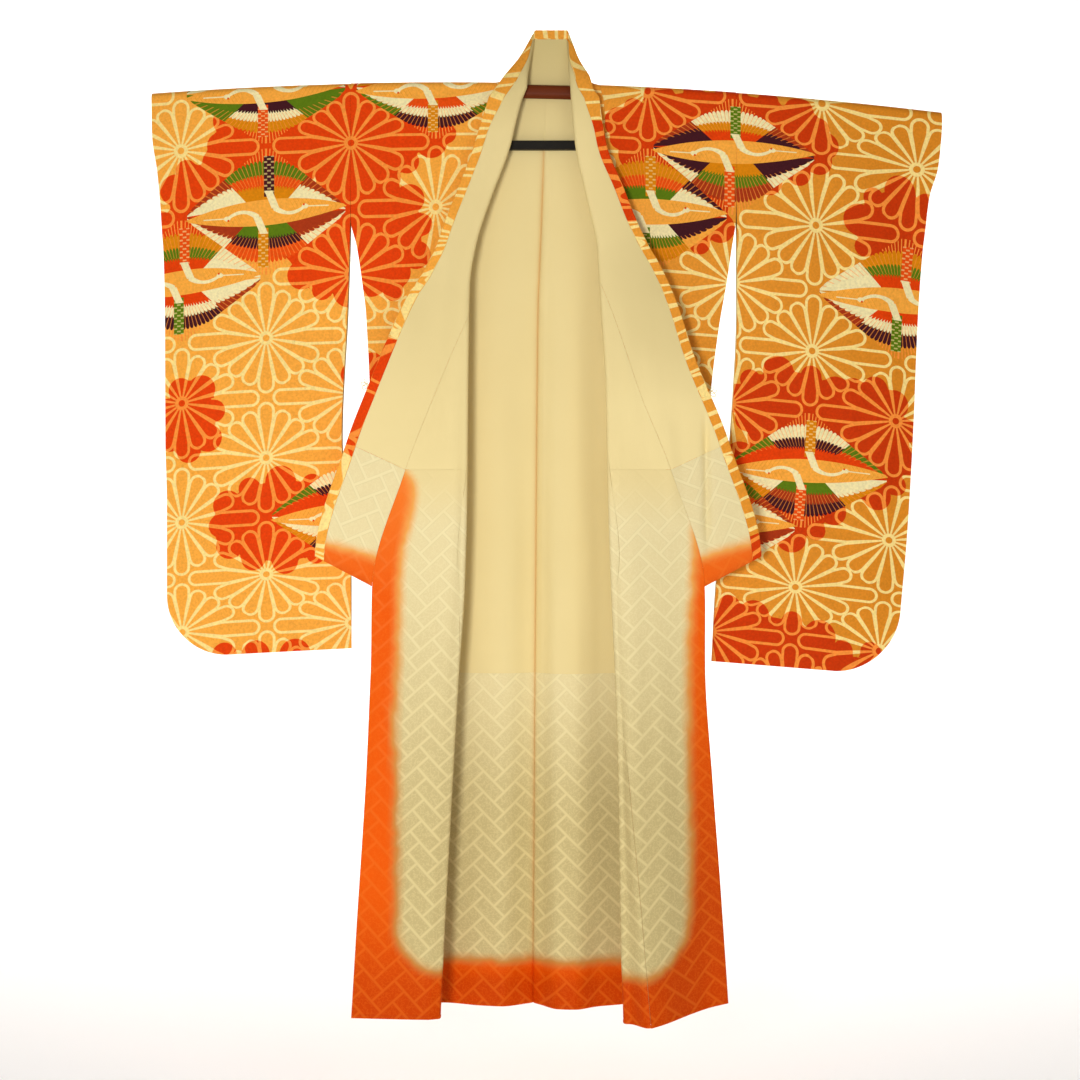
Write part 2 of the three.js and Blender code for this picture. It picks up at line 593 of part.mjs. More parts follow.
const sides = [
  { label: 'left', front: leftFront, neck: leftNeck, sleeve: leftSleeve },
  { label: 'right', front: rightFront, neck: rightNeck, sleeve: rightSleeve },
];
for (const { label, front, neck, sleeve } of sides) {
  const body = bodyGrid(front, neck);
  const backSplit = backHeights.indexOf(backLiningSplit);
  const skirtRows = collarHeights.length - collarHeights.indexOf(frontLiningSplit) + skirtHeights.length;
  const frontSplit = body.length - skirtRows;
  shell(`body_${label}`, body);
  lining(`lining_${label}`, [
    nudged(body[backSplit], seamGap / 2),
    ...body.slice(backSplit + 1, frontSplit),
    nudged(body[frontSplit], seamGap / 2),
  ], liningSilk);
  lining(`lower_lining_back_${label}`, [
    ...body.slice(0, backSplit),
    nudged(body[backSplit], -seamGap / 2),
  ], lowerSilk);
  lining(`lower_lining_front_${label}`, [
    nudged(body[frontSplit], -seamGap / 2),
    ...body.slice(frontSplit + 1),
  ], lowerSilk);

  const okumi = okumiGrid(front);
  const okumiSplit = collarHeights.indexOf(frontLiningSplit);
  shell(`okumi_${label}`, okumi);
  lining(`okumi_lining_${label}`, [
    ...okumi.slice(0, okumiSplit),
    nudged(okumi[okumiSplit], seamGap / 2),
  ], liningSilk);
  lining(`okumi_lower_lining_${label}`, [
    nudged(okumi[okumiSplit], -seamGap / 2),
    ...okumi.slice(okumiSplit + 1),
  ], lowerSilk);

  add(`sleeve_${label}`, wall(sleeveGrid(sleeve), -sleeveThickness / 2, sleeveThickness / 2), outerSilk);
}

// The collar's outer silk wraps its free edge, so the last columns are as thick as both layers
const collar = collarGrid();
const turnStart = columns.collar - 1;
add('collar', wall(collar, shellOuter, (j) => (j < turnStart ? shellInner : liningInner)), outerSilk);
const collarLining = collar.map((row) => row.slice(0, turnStart));
const footRows = collarHeights.length - collarHeights.indexOf(frontLiningSplit);
const lastRow = collarLining.length - 1;
lining('collar_end_left', [
  ...collarLining.slice(0, footRows - 1),
  nudged(collarLining[footRows - 1], -seamGap / 2),
], lowerSilk);
lining('collar_lining', [
  nudged(collarLining[footRows - 1], seamGap / 2),
  ...collarLining.slice(footRows, lastRow - footRows + 1),
  nudged(collarLining[lastRow - footRows + 1], seamGap / 2),
], liningSilk);
lining('collar_end_right', [
  nudged(collarLining[lastRow - footRows + 1], -seamGap / 2),
  ...collarLining.slice(lastRow - footRows + 2),
], lowerSilk);

// The bars and the two links that hang the lower one
add('bar', barGeometry(), barWood);
const lower = add('lower_bar', new THREE.BoxGeometry(lowerBar.length, lowerBar.depth, lowerBar.height), barBlack);
lower.position.set(0, 0, lowerBar.top - lowerBar.height / 2);
for (const [label, sign] of [['left', -1], ['right', 1]]) {
  const top = Math.min(barTop(sign * link.place - link.width / 2), barTop(sign * link.place + link.width / 2))
    - barHeight - seamGap;
  const bottom = lowerBar.top + seamGap;
  const strip = add(`link_${label}`, new THREE.BoxGeometry(link.width, link.depth, top - bottom), barBlack);
  strip.position.set(sign * link.place, 0, (top + bottom) / 2);
}

export default furisode;
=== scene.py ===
import math

import bpy
import numpy as np
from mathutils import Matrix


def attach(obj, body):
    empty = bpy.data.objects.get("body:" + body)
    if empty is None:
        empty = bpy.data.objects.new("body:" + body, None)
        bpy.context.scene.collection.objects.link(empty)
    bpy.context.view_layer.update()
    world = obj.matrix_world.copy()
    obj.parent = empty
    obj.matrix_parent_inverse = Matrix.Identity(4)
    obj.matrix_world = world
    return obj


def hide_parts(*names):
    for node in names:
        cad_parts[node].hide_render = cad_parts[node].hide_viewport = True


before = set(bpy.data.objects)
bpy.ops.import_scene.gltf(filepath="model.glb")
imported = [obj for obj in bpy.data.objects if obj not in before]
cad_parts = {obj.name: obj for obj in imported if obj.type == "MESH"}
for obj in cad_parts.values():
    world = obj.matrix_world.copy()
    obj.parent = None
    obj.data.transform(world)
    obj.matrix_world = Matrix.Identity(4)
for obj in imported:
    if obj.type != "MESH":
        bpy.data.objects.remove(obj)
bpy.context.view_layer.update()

millimetre = 0.001       # every size below is in millimetres, and meshes are made in metres

# The photograph's view: level, square on to the robe
view = dict(x=-10, y=-3000, z=-773, lens=58.82, sensor=36)
camera = bpy.data.objects.new("camera", bpy.data.cameras.new("camera"))
bpy.context.scene.collection.objects.link(camera)
camera.location = [view[axis] * millimetre for axis in "xyz"]
camera.rotation_euler = (math.pi / 2, 0, 0)
camera.data.lens, camera.data.sensor_width = view["lens"], view["sensor"]
bpy.context.scene.camera = camera

# The cut of the robe; shell and lining are the thicknesses of the outer silk and the lining
robe = dict(
    length=1567, shell=1.0, lining=0.8, liningGap=0.5, seamGap=0.3, neckGap=1.0,
    collarWidth=108, collarTurn=15, neckTurn=26, okumiWidth=146, okumiTop=-230, collarFoot=-850,
    armhole=230, foldRadius=6, frontSplit=-656, backSplit=-1000, hemRoll=6,
)
bar = dict(
    length=1322, depth=18.6, height=23, dropLeft=17, dropRight=49, reach=669,
    clothRise=2, clothOut=2.3,       # from the bar to the middle of the cloth, above and before it
)
columns = dict(body=58, okumi=22, collar=26, sleeve=60, bar=72)      # of points across each
rowStep = 6.5            # between the rows of points down the cloth

seamGap, foldRadius = robe["seamGap"], robe["foldRadius"]
quarterTurn = math.pi / 2 * foldRadius
overRadius = bar["depth"] / 2 + bar["clothOut"]      # of the cloth's middle over the bar
overQuarter = math.pi / 2 * overRadius
barTilt = (bar["dropLeft"] - bar["dropRight"]) / (2 * bar["reach"])
barBow = -(bar["dropLeft"] + bar["dropRight"]) / (2 * bar["reach"] ** 2)

# How each front hangs, by height. side: the side seam, outwards from the middle. roll, rollY: the
# fold that turns the front out. lean: how far the leaf comes back for each millimetre outwards.
# seam: the collar's seam across the cloth from the roll. ridge: a soft ridge on the leaf.
leftFront = dict(
    sign=-1, okumiAtHem=146, edgeLift=0,
    columns=("z", "side", "roll", "rollY", "lean", "seam", "ridge"),
    rows=(
        (0, 331, 32, -22, -0.27, -47, 0),
        (-30, 331, 41, -24, -0.27, -50, 0),
        (-60, 331, 49, -26, -0.27, -49, 0),
        (-110, 331, 61, -28, -0.27, -46, 0),
        (-190, 331, 90, -34, -0.27, -46, 0),
        (-230, 331, 104, -38, -0.25, -44, 0),
        (-275, 321, 117, -42, -0.23, -42, 0),
        (-344, 311, 128, -47, -0.16, -24, 0),
        (-385, 306, 129, -50, -0.12, -3, 0),
        (-565, 298, 131, -57, -0.06, 71, 3),
        (-656, 297, 131.5, -60, -0.05, 105, 4),
        (-850, 295, 136, -62, -0.04, 156, 5),
        (-1000, 296, 146, -64, 0, 149, 5),
        (-1180, 300, 156, -67, 0.02, 147, 5),
        (-1400, 306, 168, -69, 0.03, 149, 5),
        (-1567, 312, 176, -70, 0.04, 151, 5),
    ),
)
rightFront = dict(
    sign=1, okumiAtHem=134, edgeLift=20,
    columns=leftFront["columns"],
    rows=(
        (0, 322.5, 40, -22, -0.25, -52, 0),
        (-30, 322.5, 43, -24, -0.25, -58, 0),
        (-110, 322.5, 50.5, -28, -0.33, -54, 0),
        (-190, 322.5, 67, -35, -0.27, -40, 0),
        (-230, 322, 76, -39, -0.23, -34, 0),
        (-275, 316, 85.5, -42, -0.19, -24, 0),
        (-331, 308, 89, -48, -0.13, 0, 0),
        (-413, 294, 94, -56, -0.06, 27, 0),
        (-517, 281, 100, -64, -0.03, 55, 0),
        (-656, 272, 102.5, -71, 0, 107, 2),
        (-850, 266, 108, -80, 0.03, 158, 6),
        (-1000, 266, 115, -84, 0.14, 153, 10),
        (-1180, 276, 120, -90, 0.24, 161, 18),
        (-1400, 290, 123, -96, 0.3, 174, 30),
        (-1567, 302, 128, -100, 0.32, 180, 38),
    ),
)
collarRise = dict(
    columns=("z", "rise"),
    rows=((-250, 0), (-330, 10), (-400, 26), (-500, 41), (-700, 46), (-850, 50)),
)
# The neck, from the shoulder's front round to the back. over: the collar's seam along the cloth
# from the ridge. out: its distance from the middle. shoulder: the same row at the armhole.
neckColumns = ("row", "over", "out", "shoulder", "rollX", "rollY", "rollZ", "edgeX", "edgeY", "edgeZ")
leftNeck = dict(columns=neckColumns, rows=(
    (0, 18, -80, 18, -32.5, -22, -9, -84, -34, -11),
    (1, 9, -83, 9, -32, -20.5, 1, -77, -31, -1),
    (2, 0, -85, 0, -31, -18, 13, -71, -26, 9),
    (3, -4, -80, -5, -28, -10, 32, -60, -19, 24),
    (4, -8, -72, -9, -25, -1, 52, -49, -12, 39),
    (5, -13, -54, -18, -21.5, 8, 75, -36, -2, 61),
    (6, -17, -38, -34, -20, 12.5, 93, -20, 12.5, 93),
    (7, -19.5, -22, -60, -17, 14.5, 98, -17, 14.5, 98),
    (8, -20.2, 6, -78, 9, 15, 98, 9, 15, 98),
))
rightNeck = dict(columns=neckColumns, rows=(
    (0, 18, 93, 18, 42, -22, -9, 80, -36, -16),
    (1, 9, 92, 9, 41, -20.5, 1, 77, -32, -4),
    (2, 0, 90, 0, 39.5, -18, 13, 74, -27, 8),
    (3, -4, 84, -5, 39, -10, 32, 66, -19, 23),
    (4, -8, 76, -9, 38.5, -1, 52, 58, -12, 38),
    (5, -13, 62, -18, 38, 8, 75, 49, -2, 61),
    (6, -17, 50, -34, 38, 12.5, 93, 38, 12.5, 93),
    (7, -19.5, 38, -60, 36, 14.5, 98, 36, 14.5, 98),
    (8, -20.2, 6, -78, 9, 15, 98, 9, 15, 98),
))
backRows = dict(
    columns=("z", "seam", "middle", "fold", "side"),
    rows=(
        (0, 0, 11.6, 0, 11.6),
        (-60, -1.5, 12.5, 0, 11.6),
        (-230, -7, 15, 0.08, 9),
        (-300, -10, 16, 0.15, 4.5),
        (-385, -13, 17, 0.25, 1.45),
        (-850, -17, 17, 0.6, 1.45),
        (-1300, -20, 16, 0.95, 1.45),
        (-1567, -22, 16, 1, 1.45),
    ),
)
backFolds = dict(
    columns=("x", "depth"),
    rows=(
        (-312, 0), (-240, -3), (-178, 13), (-110, -6), (-75, -12), (-24, 9),
        (20, -30), (50, -33), (90, -12), (140, 4), (190, 9), (302, 0),
    ),
)
spareWaves = dict(count=2, depth=12, top=-250, full=-650)
leftSleeve = dict(
    sign=-1, bottomOuter=-968, bottomInner=-957,
    columns=("z", "outer", "inner"),
    rows=(
        (0, 668, 331), (-73, 667, 331), (-147, 658, 331), (-230, 652, 331.5), (-382, 647.5, 336),
        (-608, 646.5, 346), (-705, 644, 340), (-850, 644, 331), (-970, 643, 330),
    ),
)
rightSleeve = dict(
    sign=1, bottomOuter=-996, bottomInner=-979,
    columns=("z", "outer", "inner"),
    rows=(
        (-30, 671, 322.5), (-118, 664, 322.5), (-183, 650, 322.5), (-230, 645, 323.5),
        (-382, 633, 324), (-593, 624, 314), (-763, 614, 298), (-890, 603, 287), (-996, 594, 281),
    ),
)
# A sleeve's bag: its walls, half its depth at the seams and when full, how far below the armhole
# it is full, and how wide its flattened edge and foot are. top and next: its first two rows below
# the bar. level, slant: over what height its rows turn level and then slant with the foot.
sleeveBag = dict(
    thickness=1.2, mouth=0.85, depth=8, full=400, edge=70, foot=150, cuff=60, corner=100,
    top=-24, next=-40, level=250, slant=900, overHalf=18, overRows=13, cornerRows=22,
)

# Long soft creases. Each row is across and z of its top, across and z of its foot, its half width
# and its rise towards the viewer.
leftLeafCreases = (
    (20, -250, 60, -640, 16, 1.6),
    (70, -500, 92, -1100, 20, 1.4),
    (36, -760, 30, -1500, 16, 1.8),
    (80, -1000, 84, -1540, 22, 2.2),
    (120, -880, 118, -1400, 14, 1.2),
)
rightLeafCreases = (
    (24, -300, 40, -620, 16, 2.0),
    (66, -420, 84, -700, 20, 2.4),
    (96, -560, 104, -760, 12, 2.6),
    (30, -700, 22, -1400, 15, 2.0),
    (62, -820, 70, -1500, 18, 2.2),
    (159, -545, 155, -810, 6, -8),
    (104, -250, 150, -560, 22, -3.5),
)
backCreases = (
    (-88, -260, -96, -1250, 26, 2.4),
    (-52, -520, -58, -1500, 17, 1.8),
    (36, -160, 52, -1400, 20, 2.2),
    (72, -640, 88, -1540, 15, 2.4),
    (-190, -240, -200, -1350, 34, 2.6),
    (196, -300, 190, -1500, 30, 2.4),
    (250, -500, 244, -1200, 22, -1.8),
    (-262, -420, -256, -1400, 24, -1.8),
)
leftSleeveCreases = (
    (400, -20, 380, -420, 26, 1.6),
    (470, -260, 500, -900, 34, 1.6),
    (560, -60, 580, -700, 30, 1.4),
    (600, -520, 610, -940, 22, 1.2),
    (372, -560, 368, -930, 18, 1.4),
)
rightSleeveCreases = (
    (372, -20, 384, -360, 22, 1.8),
    (440, -180, 470, -860, 32, 1.8),
    (540, -90, 520, -640, 30, 1.6),
    (590, -420, 560, -930, 24, 1.6),
    (350, -620, 340, -930, 20, 1.4),
)
leftFront["creases"] = leftLeafCreases
rightFront["creases"] = rightLeafCreases
# The cloth's unevenness: slow waves, of lengths between two limits, that change little down the
# cloth and start below the bar, and how high they are on each piece
wear = dict(waves=7, shortest=50, longest=170, phase=6.3, down=0.3, top=-60, over=200,
            leaf=0.9, leafEdge=30, panel=1.2, back=1.2, sleeve=1.1)
seeds = dict(leaf=3, panel=8, back=21, sleeve=40, sleeveBack=7, clouds=5)     # of random draws
sleeveWear = dict(top=-40, over=160, foot=60, edge=40, backAcross=36, backDown=50)
crowding = dict(times=3, reach=9, half=420, step=0.5)    # of the columns of points round a roll
leastCrest = 12          # the shortest way from the roll to the leaf's ridge
# The pressed centre back seam: its allowance, raised on one side, and its valley in two steps
backSeam = dict(raised=1.3, start=1.5, width=16, end=5, valley=5, reach=7, line=3, lineReach=2)
backEase = dict(top=-40, over=160, side=70)      # below the bar, and beside the side seams
tiny = 1e-6


def mix(a, b, t):
    # In a straight line from a at t = 0 to b at t = 1
    return a + (b - a) * t


def ease(t):
    # 3t^2 - 2t^3, held at 0 and 1 outside the stretch
    t = np.clip(t, 0, 1)
    return t * t * (3 - 2 * t)


def fall(z, top, over):
    # 0 down to the height top, easing to 1 over the given length below it
    return ease((top - z) / over)


def smooth(places, values, at):
    # A cubic through the values whose slope at each is the harmonic mean of the two chords there,
    # or level where they turn, so that it never overshoots; held at its ends
    if places[0] > places[-1]:
        places, values = places[::-1], values[::-1]
    steps = np.diff(places)
    chords = np.diff(values) / steps
    product = chords[:-1] * chords[1:]
    total = np.where(product > 0, chords[:-1] + chords[1:], 1)
    slopes = np.concatenate([chords[:1], np.where(product > 0, 2 * product / total, 0), chords[-1:]])
    at = np.clip(at, places[0], places[-1])
    i = np.clip(np.searchsorted(places, at) - 1, 0, len(places) - 2)
    h = steps[i]
    t = (at - places[i]) / h
    start = values[i] * (1 + 2 * t) * (1 - t) ** 2 + slopes[i] * h * t * (1 - t) ** 2
    end = values[i + 1] * t * t * (3 - 2 * t) + slopes[i + 1] * h * t * t * (t - 1)
    return start + end


def read(table, column, at):
    # A column of a table as a smooth curve over its first column
    rows = np.array(table["rows"], float)
    return smooth(rows[:, 0], rows[:, table["columns"].index(column)], np.asarray(at, float))


def creases(table, across, z):
    # The sum of the creases: a bell curve across each line, fading over a quarter of its length
    total = 0
    for x0, z0, x1, z1, width, rise in table:
        t = (z - z0) / (z1 - z0)
        bell = np.exp(-((across - mix(x0, x1, t)) / width) ** 2)
        total = total + rise * bell * ease(4 * t) * ease(4 - 4 * t)
    return total


def unevenness(x, z, seed, size):
    # A sum of slow waves, stretched down the cloth, of fixed pseudo-random lengths
    waves = np.random.RandomState(seed)
    total = 0
    for _ in range(wear["waves"]):
        angle = waves.uniform(0, math.pi)
        length = waves.uniform(wear["shortest"], wear["longest"])
        phase = waves.uniform(0, wear["phase"])
        along = x * math.cos(angle) + wear["down"] * z * math.sin(angle)
        total = total + np.sin(2 * math.pi * along / length + phase)
    return total * size / 4


def barTop(x):
    # The top of the bowed bar: a parabola that is tilted a little
    return barTilt * x + barBow * x * x


def spread(start, end, count):
    # count + 1 places from start to end in each row, up to four times closer together at the roll
    fine = np.arange(-crowding["half"], crowding["half"] + 0.1, crowding["step"])
    weight = 1 + crowding["times"] * np.exp(-(fine / crowding["reach"]) ** 2)
    sums = np.concatenate([[0], np.cumsum((weight[1:] + weight[:-1]) * crowding["step"] / 2)])
    ends = [np.interp(edge, fine, sums)[..., None] for edge in (np.ravel(start), np.ravel(end))]
    return np.interp(mix(*ends, np.linspace(0, 1, count + 1)), sums, fine)


def collarSeam(front, z):
    # Where the collar's seam, and below it the front edge, lies across the cloth from the roll
    return read(front, "seam", z)


def fromRoll(front, z, across):
    # A place across the cloth from the roll as one out from the middle, and the other way round
    return read(front, "roll", z) + foldRadius - quarterTurn - across


def okumiSeam(front, z):
    # The overlap panel is a taper down to the collar's foot and nearly even below it
    taper = np.clip((robe["okumiTop"] - z) / (robe["okumiTop"] - robe["collarFoot"]), 0, 1)
    toHem = np.clip((robe["collarFoot"] - z) / (robe["collarFoot"] + robe["length"]), 0, 1)
    return collarSeam(front, z) - mix(robe["okumiWidth"] * taper, front["okumiAtHem"], toHem)


def leafDepth(front, past, z):
    # A plane from the roll, with a ridge that rises to the okumi's seam and falls beyond it
    crest = np.maximum(leastCrest, okumiSeam(front, z) - quarterTurn)
    beyond = 1 - np.clip((past - crest) / (robe["okumiWidth"] - crest), 0, 1)
    rise = np.where(past < crest, past / crest, beyond)
    plane = read(front, "rollY", z) - foldRadius + read(front, "lean", z) * past
    worn = unevenness(past, z, seeds["leaf"] + front["sign"], wear["leaf"]) * ease(past / wear["leafEdge"])
    worn = worn * fall(z, wear["top"], wear["over"])
    return plane - read(front, "ridge", z) * ease(rise) - creases(front["creases"], past, z) - worn


def panelDepth(front, out, z):
    # A parabola from the roll back to the side seam, with the spare width in waves
    start = read(front, "roll", z) + foldRadius
    t = np.clip((out - start) / (read(front, "side", z) - start), 0, 1)
    side = -read(backRows, "side", z)
    full = fall(z, spareWaves["top"], spareWaves["top"] - spareWaves["full"])
    swing = np.sin(2 * math.pi * spareWaves["count"] * (1 - t)) * np.sin(math.pi * t)
    worn = unevenness(out, z, seeds["panel"] + front["sign"], wear["panel"]) * np.sin(math.pi * t)
    worn = worn * fall(z, wear["top"], wear["over"])
    curve = (read(front, "rollY", z) + foldRadius - side) * (1 - t) ** 2
    return side + curve - spareWaves["depth"] * full * swing - worn


def frontPoint(front, c, z):
    # The front at c across the cloth from its roll: the panel, a half turn, then the leaf
    roll, rollY = read(front, "roll", z), read(front, "rollY", z)
    turn = np.clip(c, -quarterTurn, quarterTurn) / foldRadius
    past = np.maximum(np.abs(c) - quarterTurn, 0)
    out = roll + foldRadius * (1 - np.cos(turn)) + past
    flat = np.where(c > 0, leafDepth(front, past, z), panelDepth(front, out, z))
    bend = rollY - foldRadius * np.sin(turn)
    depth = np.where(past > 0, flat, bend)
    return np.stack([front["sign"] * out, depth, z + 0 * out], -1)


def backDepth(x, z):
    # The middle of the back with its folds and its pressed seam, eased to the side seams
    seam = read(backRows, "seam", z)
    side = np.where(x < seam, read(leftFront, "side", z), read(rightFront, "side", z))
    off = np.abs(x - seam)
    pressed = backSeam["raised"] * ease((x - seam) / backSeam["start"])
    pressed = pressed * ease((seam + backSeam["width"] - x) / backSeam["end"])
    pressed = pressed - backSeam["valley"] * np.exp(-off / backSeam["reach"])
    pressed = pressed - backSeam["line"] * np.exp(-off / backSeam["lineReach"])
    worn = creases(backCreases, x, z) + pressed + unevenness(x, z, seeds["back"], wear["back"])
    middle = read(backRows, "middle", z) + read(backRows, "fold", z) * read(backFolds, "depth", x)
    middle = middle - worn * fall(z, backEase["top"], backEase["over"])
    return mix(read(backRows, "side", z), middle, ease((side - np.abs(x)) / backEase["side"]))


def overBar(x, s):
    # Cloth passed over the bar, at s from the ridge: a half circle, then straight down
    turn = np.clip(s / overRadius, -math.pi / 2, math.pi / 2)
    hang = np.maximum(np.abs(s) - overQuarter, 0)
    z = barTop(x) + bar["clothRise"] - overRadius * (1 - np.cos(turn)) - hang
    y = np.where(s < -overQuarter, backDepth(x, z), -overRadius * np.sin(turn))
    return np.stack([x, y, z], -1)


def heights(*stops):
    # Evenly spaced heights through the given stops
    parts = []
    for a, b in zip(stops[:-1], stops[1:]):
        parts.append(np.linspace(a, b, max(2, round(abs(a - b) / rowStep)), endpoint=False))
    return np.concatenate([*parts, stops[-1:]])


# Rows of points: the rolled hem, the front and the back down the cloth, and those round the neck,
# which count to 7 beside the middle of the back and 8 at it, with the rows that join them
hemEnd = -robe["length"]
hemRows = hemEnd + np.array([0, 0.7, 2, robe["hemRoll"] - 0.5, robe["hemRoll"]])
shellEnd = hemEnd + robe["hemRoll"] + 1
frontHeights = np.concatenate([
    heights(-30, robe["okumiTop"] - 6, robe["frontSplit"]),
    heights(robe["frontSplit"] - seamGap, robe["collarFoot"], shellEnd), hemRows[::-1]])
backHeights = np.concatenate([
    hemRows, heights(shellEnd, robe["backSplit"] - seamGap), heights(robe["backSplit"], -110)])
besideMiddle, backMiddle = 7, 8
neckRows = np.concatenate([np.linspace(0, besideMiddle, 36), [7.25, 7.5, 7.75, backMiddle]])
joinRows = np.linspace(0, 1, 10)[1:-1, None]
blendRows = np.linspace(0, 1, 5)[1:-1, None]
backCrowding = 1.5       # the power that draws columns together towards the back seam
skirtTop = -1000         # where the front edge starts to lift towards the hem
# Under the lifted leaf the body's hem rises too: from inner to outer, below top, by a share of it
hemCorner = dict(inner=165, outer=302, top=-1300, share=0.75)
okumiEdge = dict(inner=0.93, roll=0.05)      # shares of its width: up to the roll, and the roll
# The silk turned onto the collar's lining widens above a height and up to a row round the neck
widening = dict(bottom=-90, over=75, lastRow=6.5, rows=3)
lastOpenRow = 6          # round the neck, up to which the collar is turned out


def clothDown(out, z):
    # Length along the cloth from the ridge, over the bar and straight down
    return barTop(out) + bar["clothRise"] + overQuarter - overRadius - z


def bodyGrid(front, neck):
    # Half of the body from the back's hem over the bar to the front's hem, with its own cloth
    # coordinates: out from the middle, and down from the ridge, below zero on the back
    sign = front["sign"]
    u = 1 - np.linspace(1, 0, columns["body"] + 1)[None, :] ** backCrowding
    z = backHeights[:, None]
    seam = read(backRows, "seam", z) + sign * seamGap / 2
    x = mix(sign * (read(front, "side", z) - seamGap / 2), seam, u)
    back = np.stack([x, backDepth(x, z), z + 0 * x], -1)
    backDown = -clothDown(x, z)

    k = neckRows[::-1, None]
    over = read(neck, "over", k)
    over = over - robe["neckGap"] * ease(-over / 4)
    beside = read(neck, "out", np.array(float(besideMiddle)))
    inner = mix(beside, sign * seamGap / 2, k - besideMiddle)
    inner = np.where(k > besideMiddle, inner, read(neck, "out", k))
    inner = inner + sign * robe["neckGap"] / 2 * ease(backMiddle - k)
    side = sign * (read(front, "side", np.array(0.0)) - seamGap / 2)
    neckX = mix(side, inner, u)
    neckDown = mix(read(neck, "shoulder", k), over, u)
    joinX = mix(x[-1], neckX[0], joinRows)
    joinDown = mix(backDown[-1], neckDown[0], joinRows)

    z = frontHeights[:, None]
    edge = np.where(z > robe["okumiTop"], collarSeam(front, z), okumiSeam(front, z)) - seamGap / 2
    turned = read(front, "side", z) - read(front, "roll", z) - foldRadius - seamGap / 2
    c = spread(-quarterTurn - turned, edge, columns["body"])
    hanging = frontPoint(front, c, z)
    out = fromRoll(front, z, c)
    down = clothDown(sign * out, z)
    shoulder = overBar(neckX, neckDown)
    blend = mix(shoulder[-1], hanging[0], blendRows[..., None])
    blendOut = mix(np.abs(neckX[-1]), out[0], blendRows)
    blendDown = mix(neckDown[-1], down[0], blendRows)
    points = np.concatenate([back, overBar(joinX, joinDown), shoulder, blend, hanging])
    width = hemCorner["outer"] - hemCorner["inner"]
    corner = np.clip((np.abs(points[..., 0]) - hemCorner["inner"]) / width, 0, 1)
    corner = corner * fall(points[..., 2], hemCorner["top"], hemCorner["top"] - hemEnd)
    points[..., 2] += hemCorner["share"] * front["edgeLift"] * corner
    outs = np.concatenate([np.abs(x), np.abs(joinX), np.abs(neckX), blendOut, out])
    return points, outs, np.concatenate([backDown, joinDown, neckDown, blendDown, down])


def okumiGrid(front):
    # The overlap panel, from its seam with the front to the collar's seam and, below that, to its
    # rolled free edge, which lifts towards the hem
    z = frontHeights[frontHeights < robe["okumiTop"]][:, None]
    start = okumiSeam(front, z) + seamGap / 2
    end = collarSeam(front, z) - np.where(z >= robe["collarFoot"], seamGap / 2, 0)
    inner = spread(start, mix(start, end, okumiEdge["inner"]), columns["okumi"])
    roll = np.minimum(robe["hemRoll"], (end - start) * okumiEdge["roll"])
    rolled = [end - roll - 0.5 * roll / 6, end - roll, end - roll / 3, end - roll / 9, end]
    c = np.concatenate([inner, *rolled], 1)
    points = frontPoint(front, c, z)
    lift = front["edgeLift"] * fall(z, skirtTop, skirtTop - hemEnd)
    points[..., 2] += lift * (c - start) / (end - start)
    out = fromRoll(front, z, c)
    return points, out, clothDown(front["sign"] * out, z)


def lengths(vectors):
    # The length of each vector, kept above zero
    return np.maximum(np.linalg.norm(vectors, axis=-1, keepdims=True), tiny)


def neckTurns(seam, roll, edge):
    # A row round the neck is straight from the seam to the roll, half a turn, and straight to the
    # edge: the turn's start and end, its middle, its two directions and its radius
    toSeam, toEdge = seam - roll, edge - roll
    away = toSeam / lengths(toSeam) + toEdge / lengths(toEdge)
    away = away / lengths(away)
    across = toEdge - away * (toEdge * away).sum(-1, keepdims=True)
    across = across / lengths(across)
    radius = np.minimum(foldRadius, lengths(toEdge) / 2.2)
    middle = roll + away * radius
    return middle - across * radius, middle + across * radius, middle, away, across, radius


def turnedWidth(z, row):
    # The silk turned onto the lining is wider round the neck, but for the back of it
    wide = robe["neckTurn"] - robe["collarTurn"]
    up = ease((z - widening["bottom"]) / widening["over"])
    return robe["collarTurn"] + wide * up * ease((widening["lastRow"] - row) / widening["rows"])


def collarPlaces(start, end, turned, gap):
    # Places across a collar row: crowded at the roll, then the turned silk with a rounded edge
    turnStart = end - turned
    full = robe["collarTurn"]
    rounded = np.array([0, 0.4, 0.8, full - 1.2, full - 0.4, full])
    rounded = turnStart + rounded * (end - turnStart) / full
    return np.concatenate([spread(start, turnStart - gap, columns["collar"]), rounded], 1)


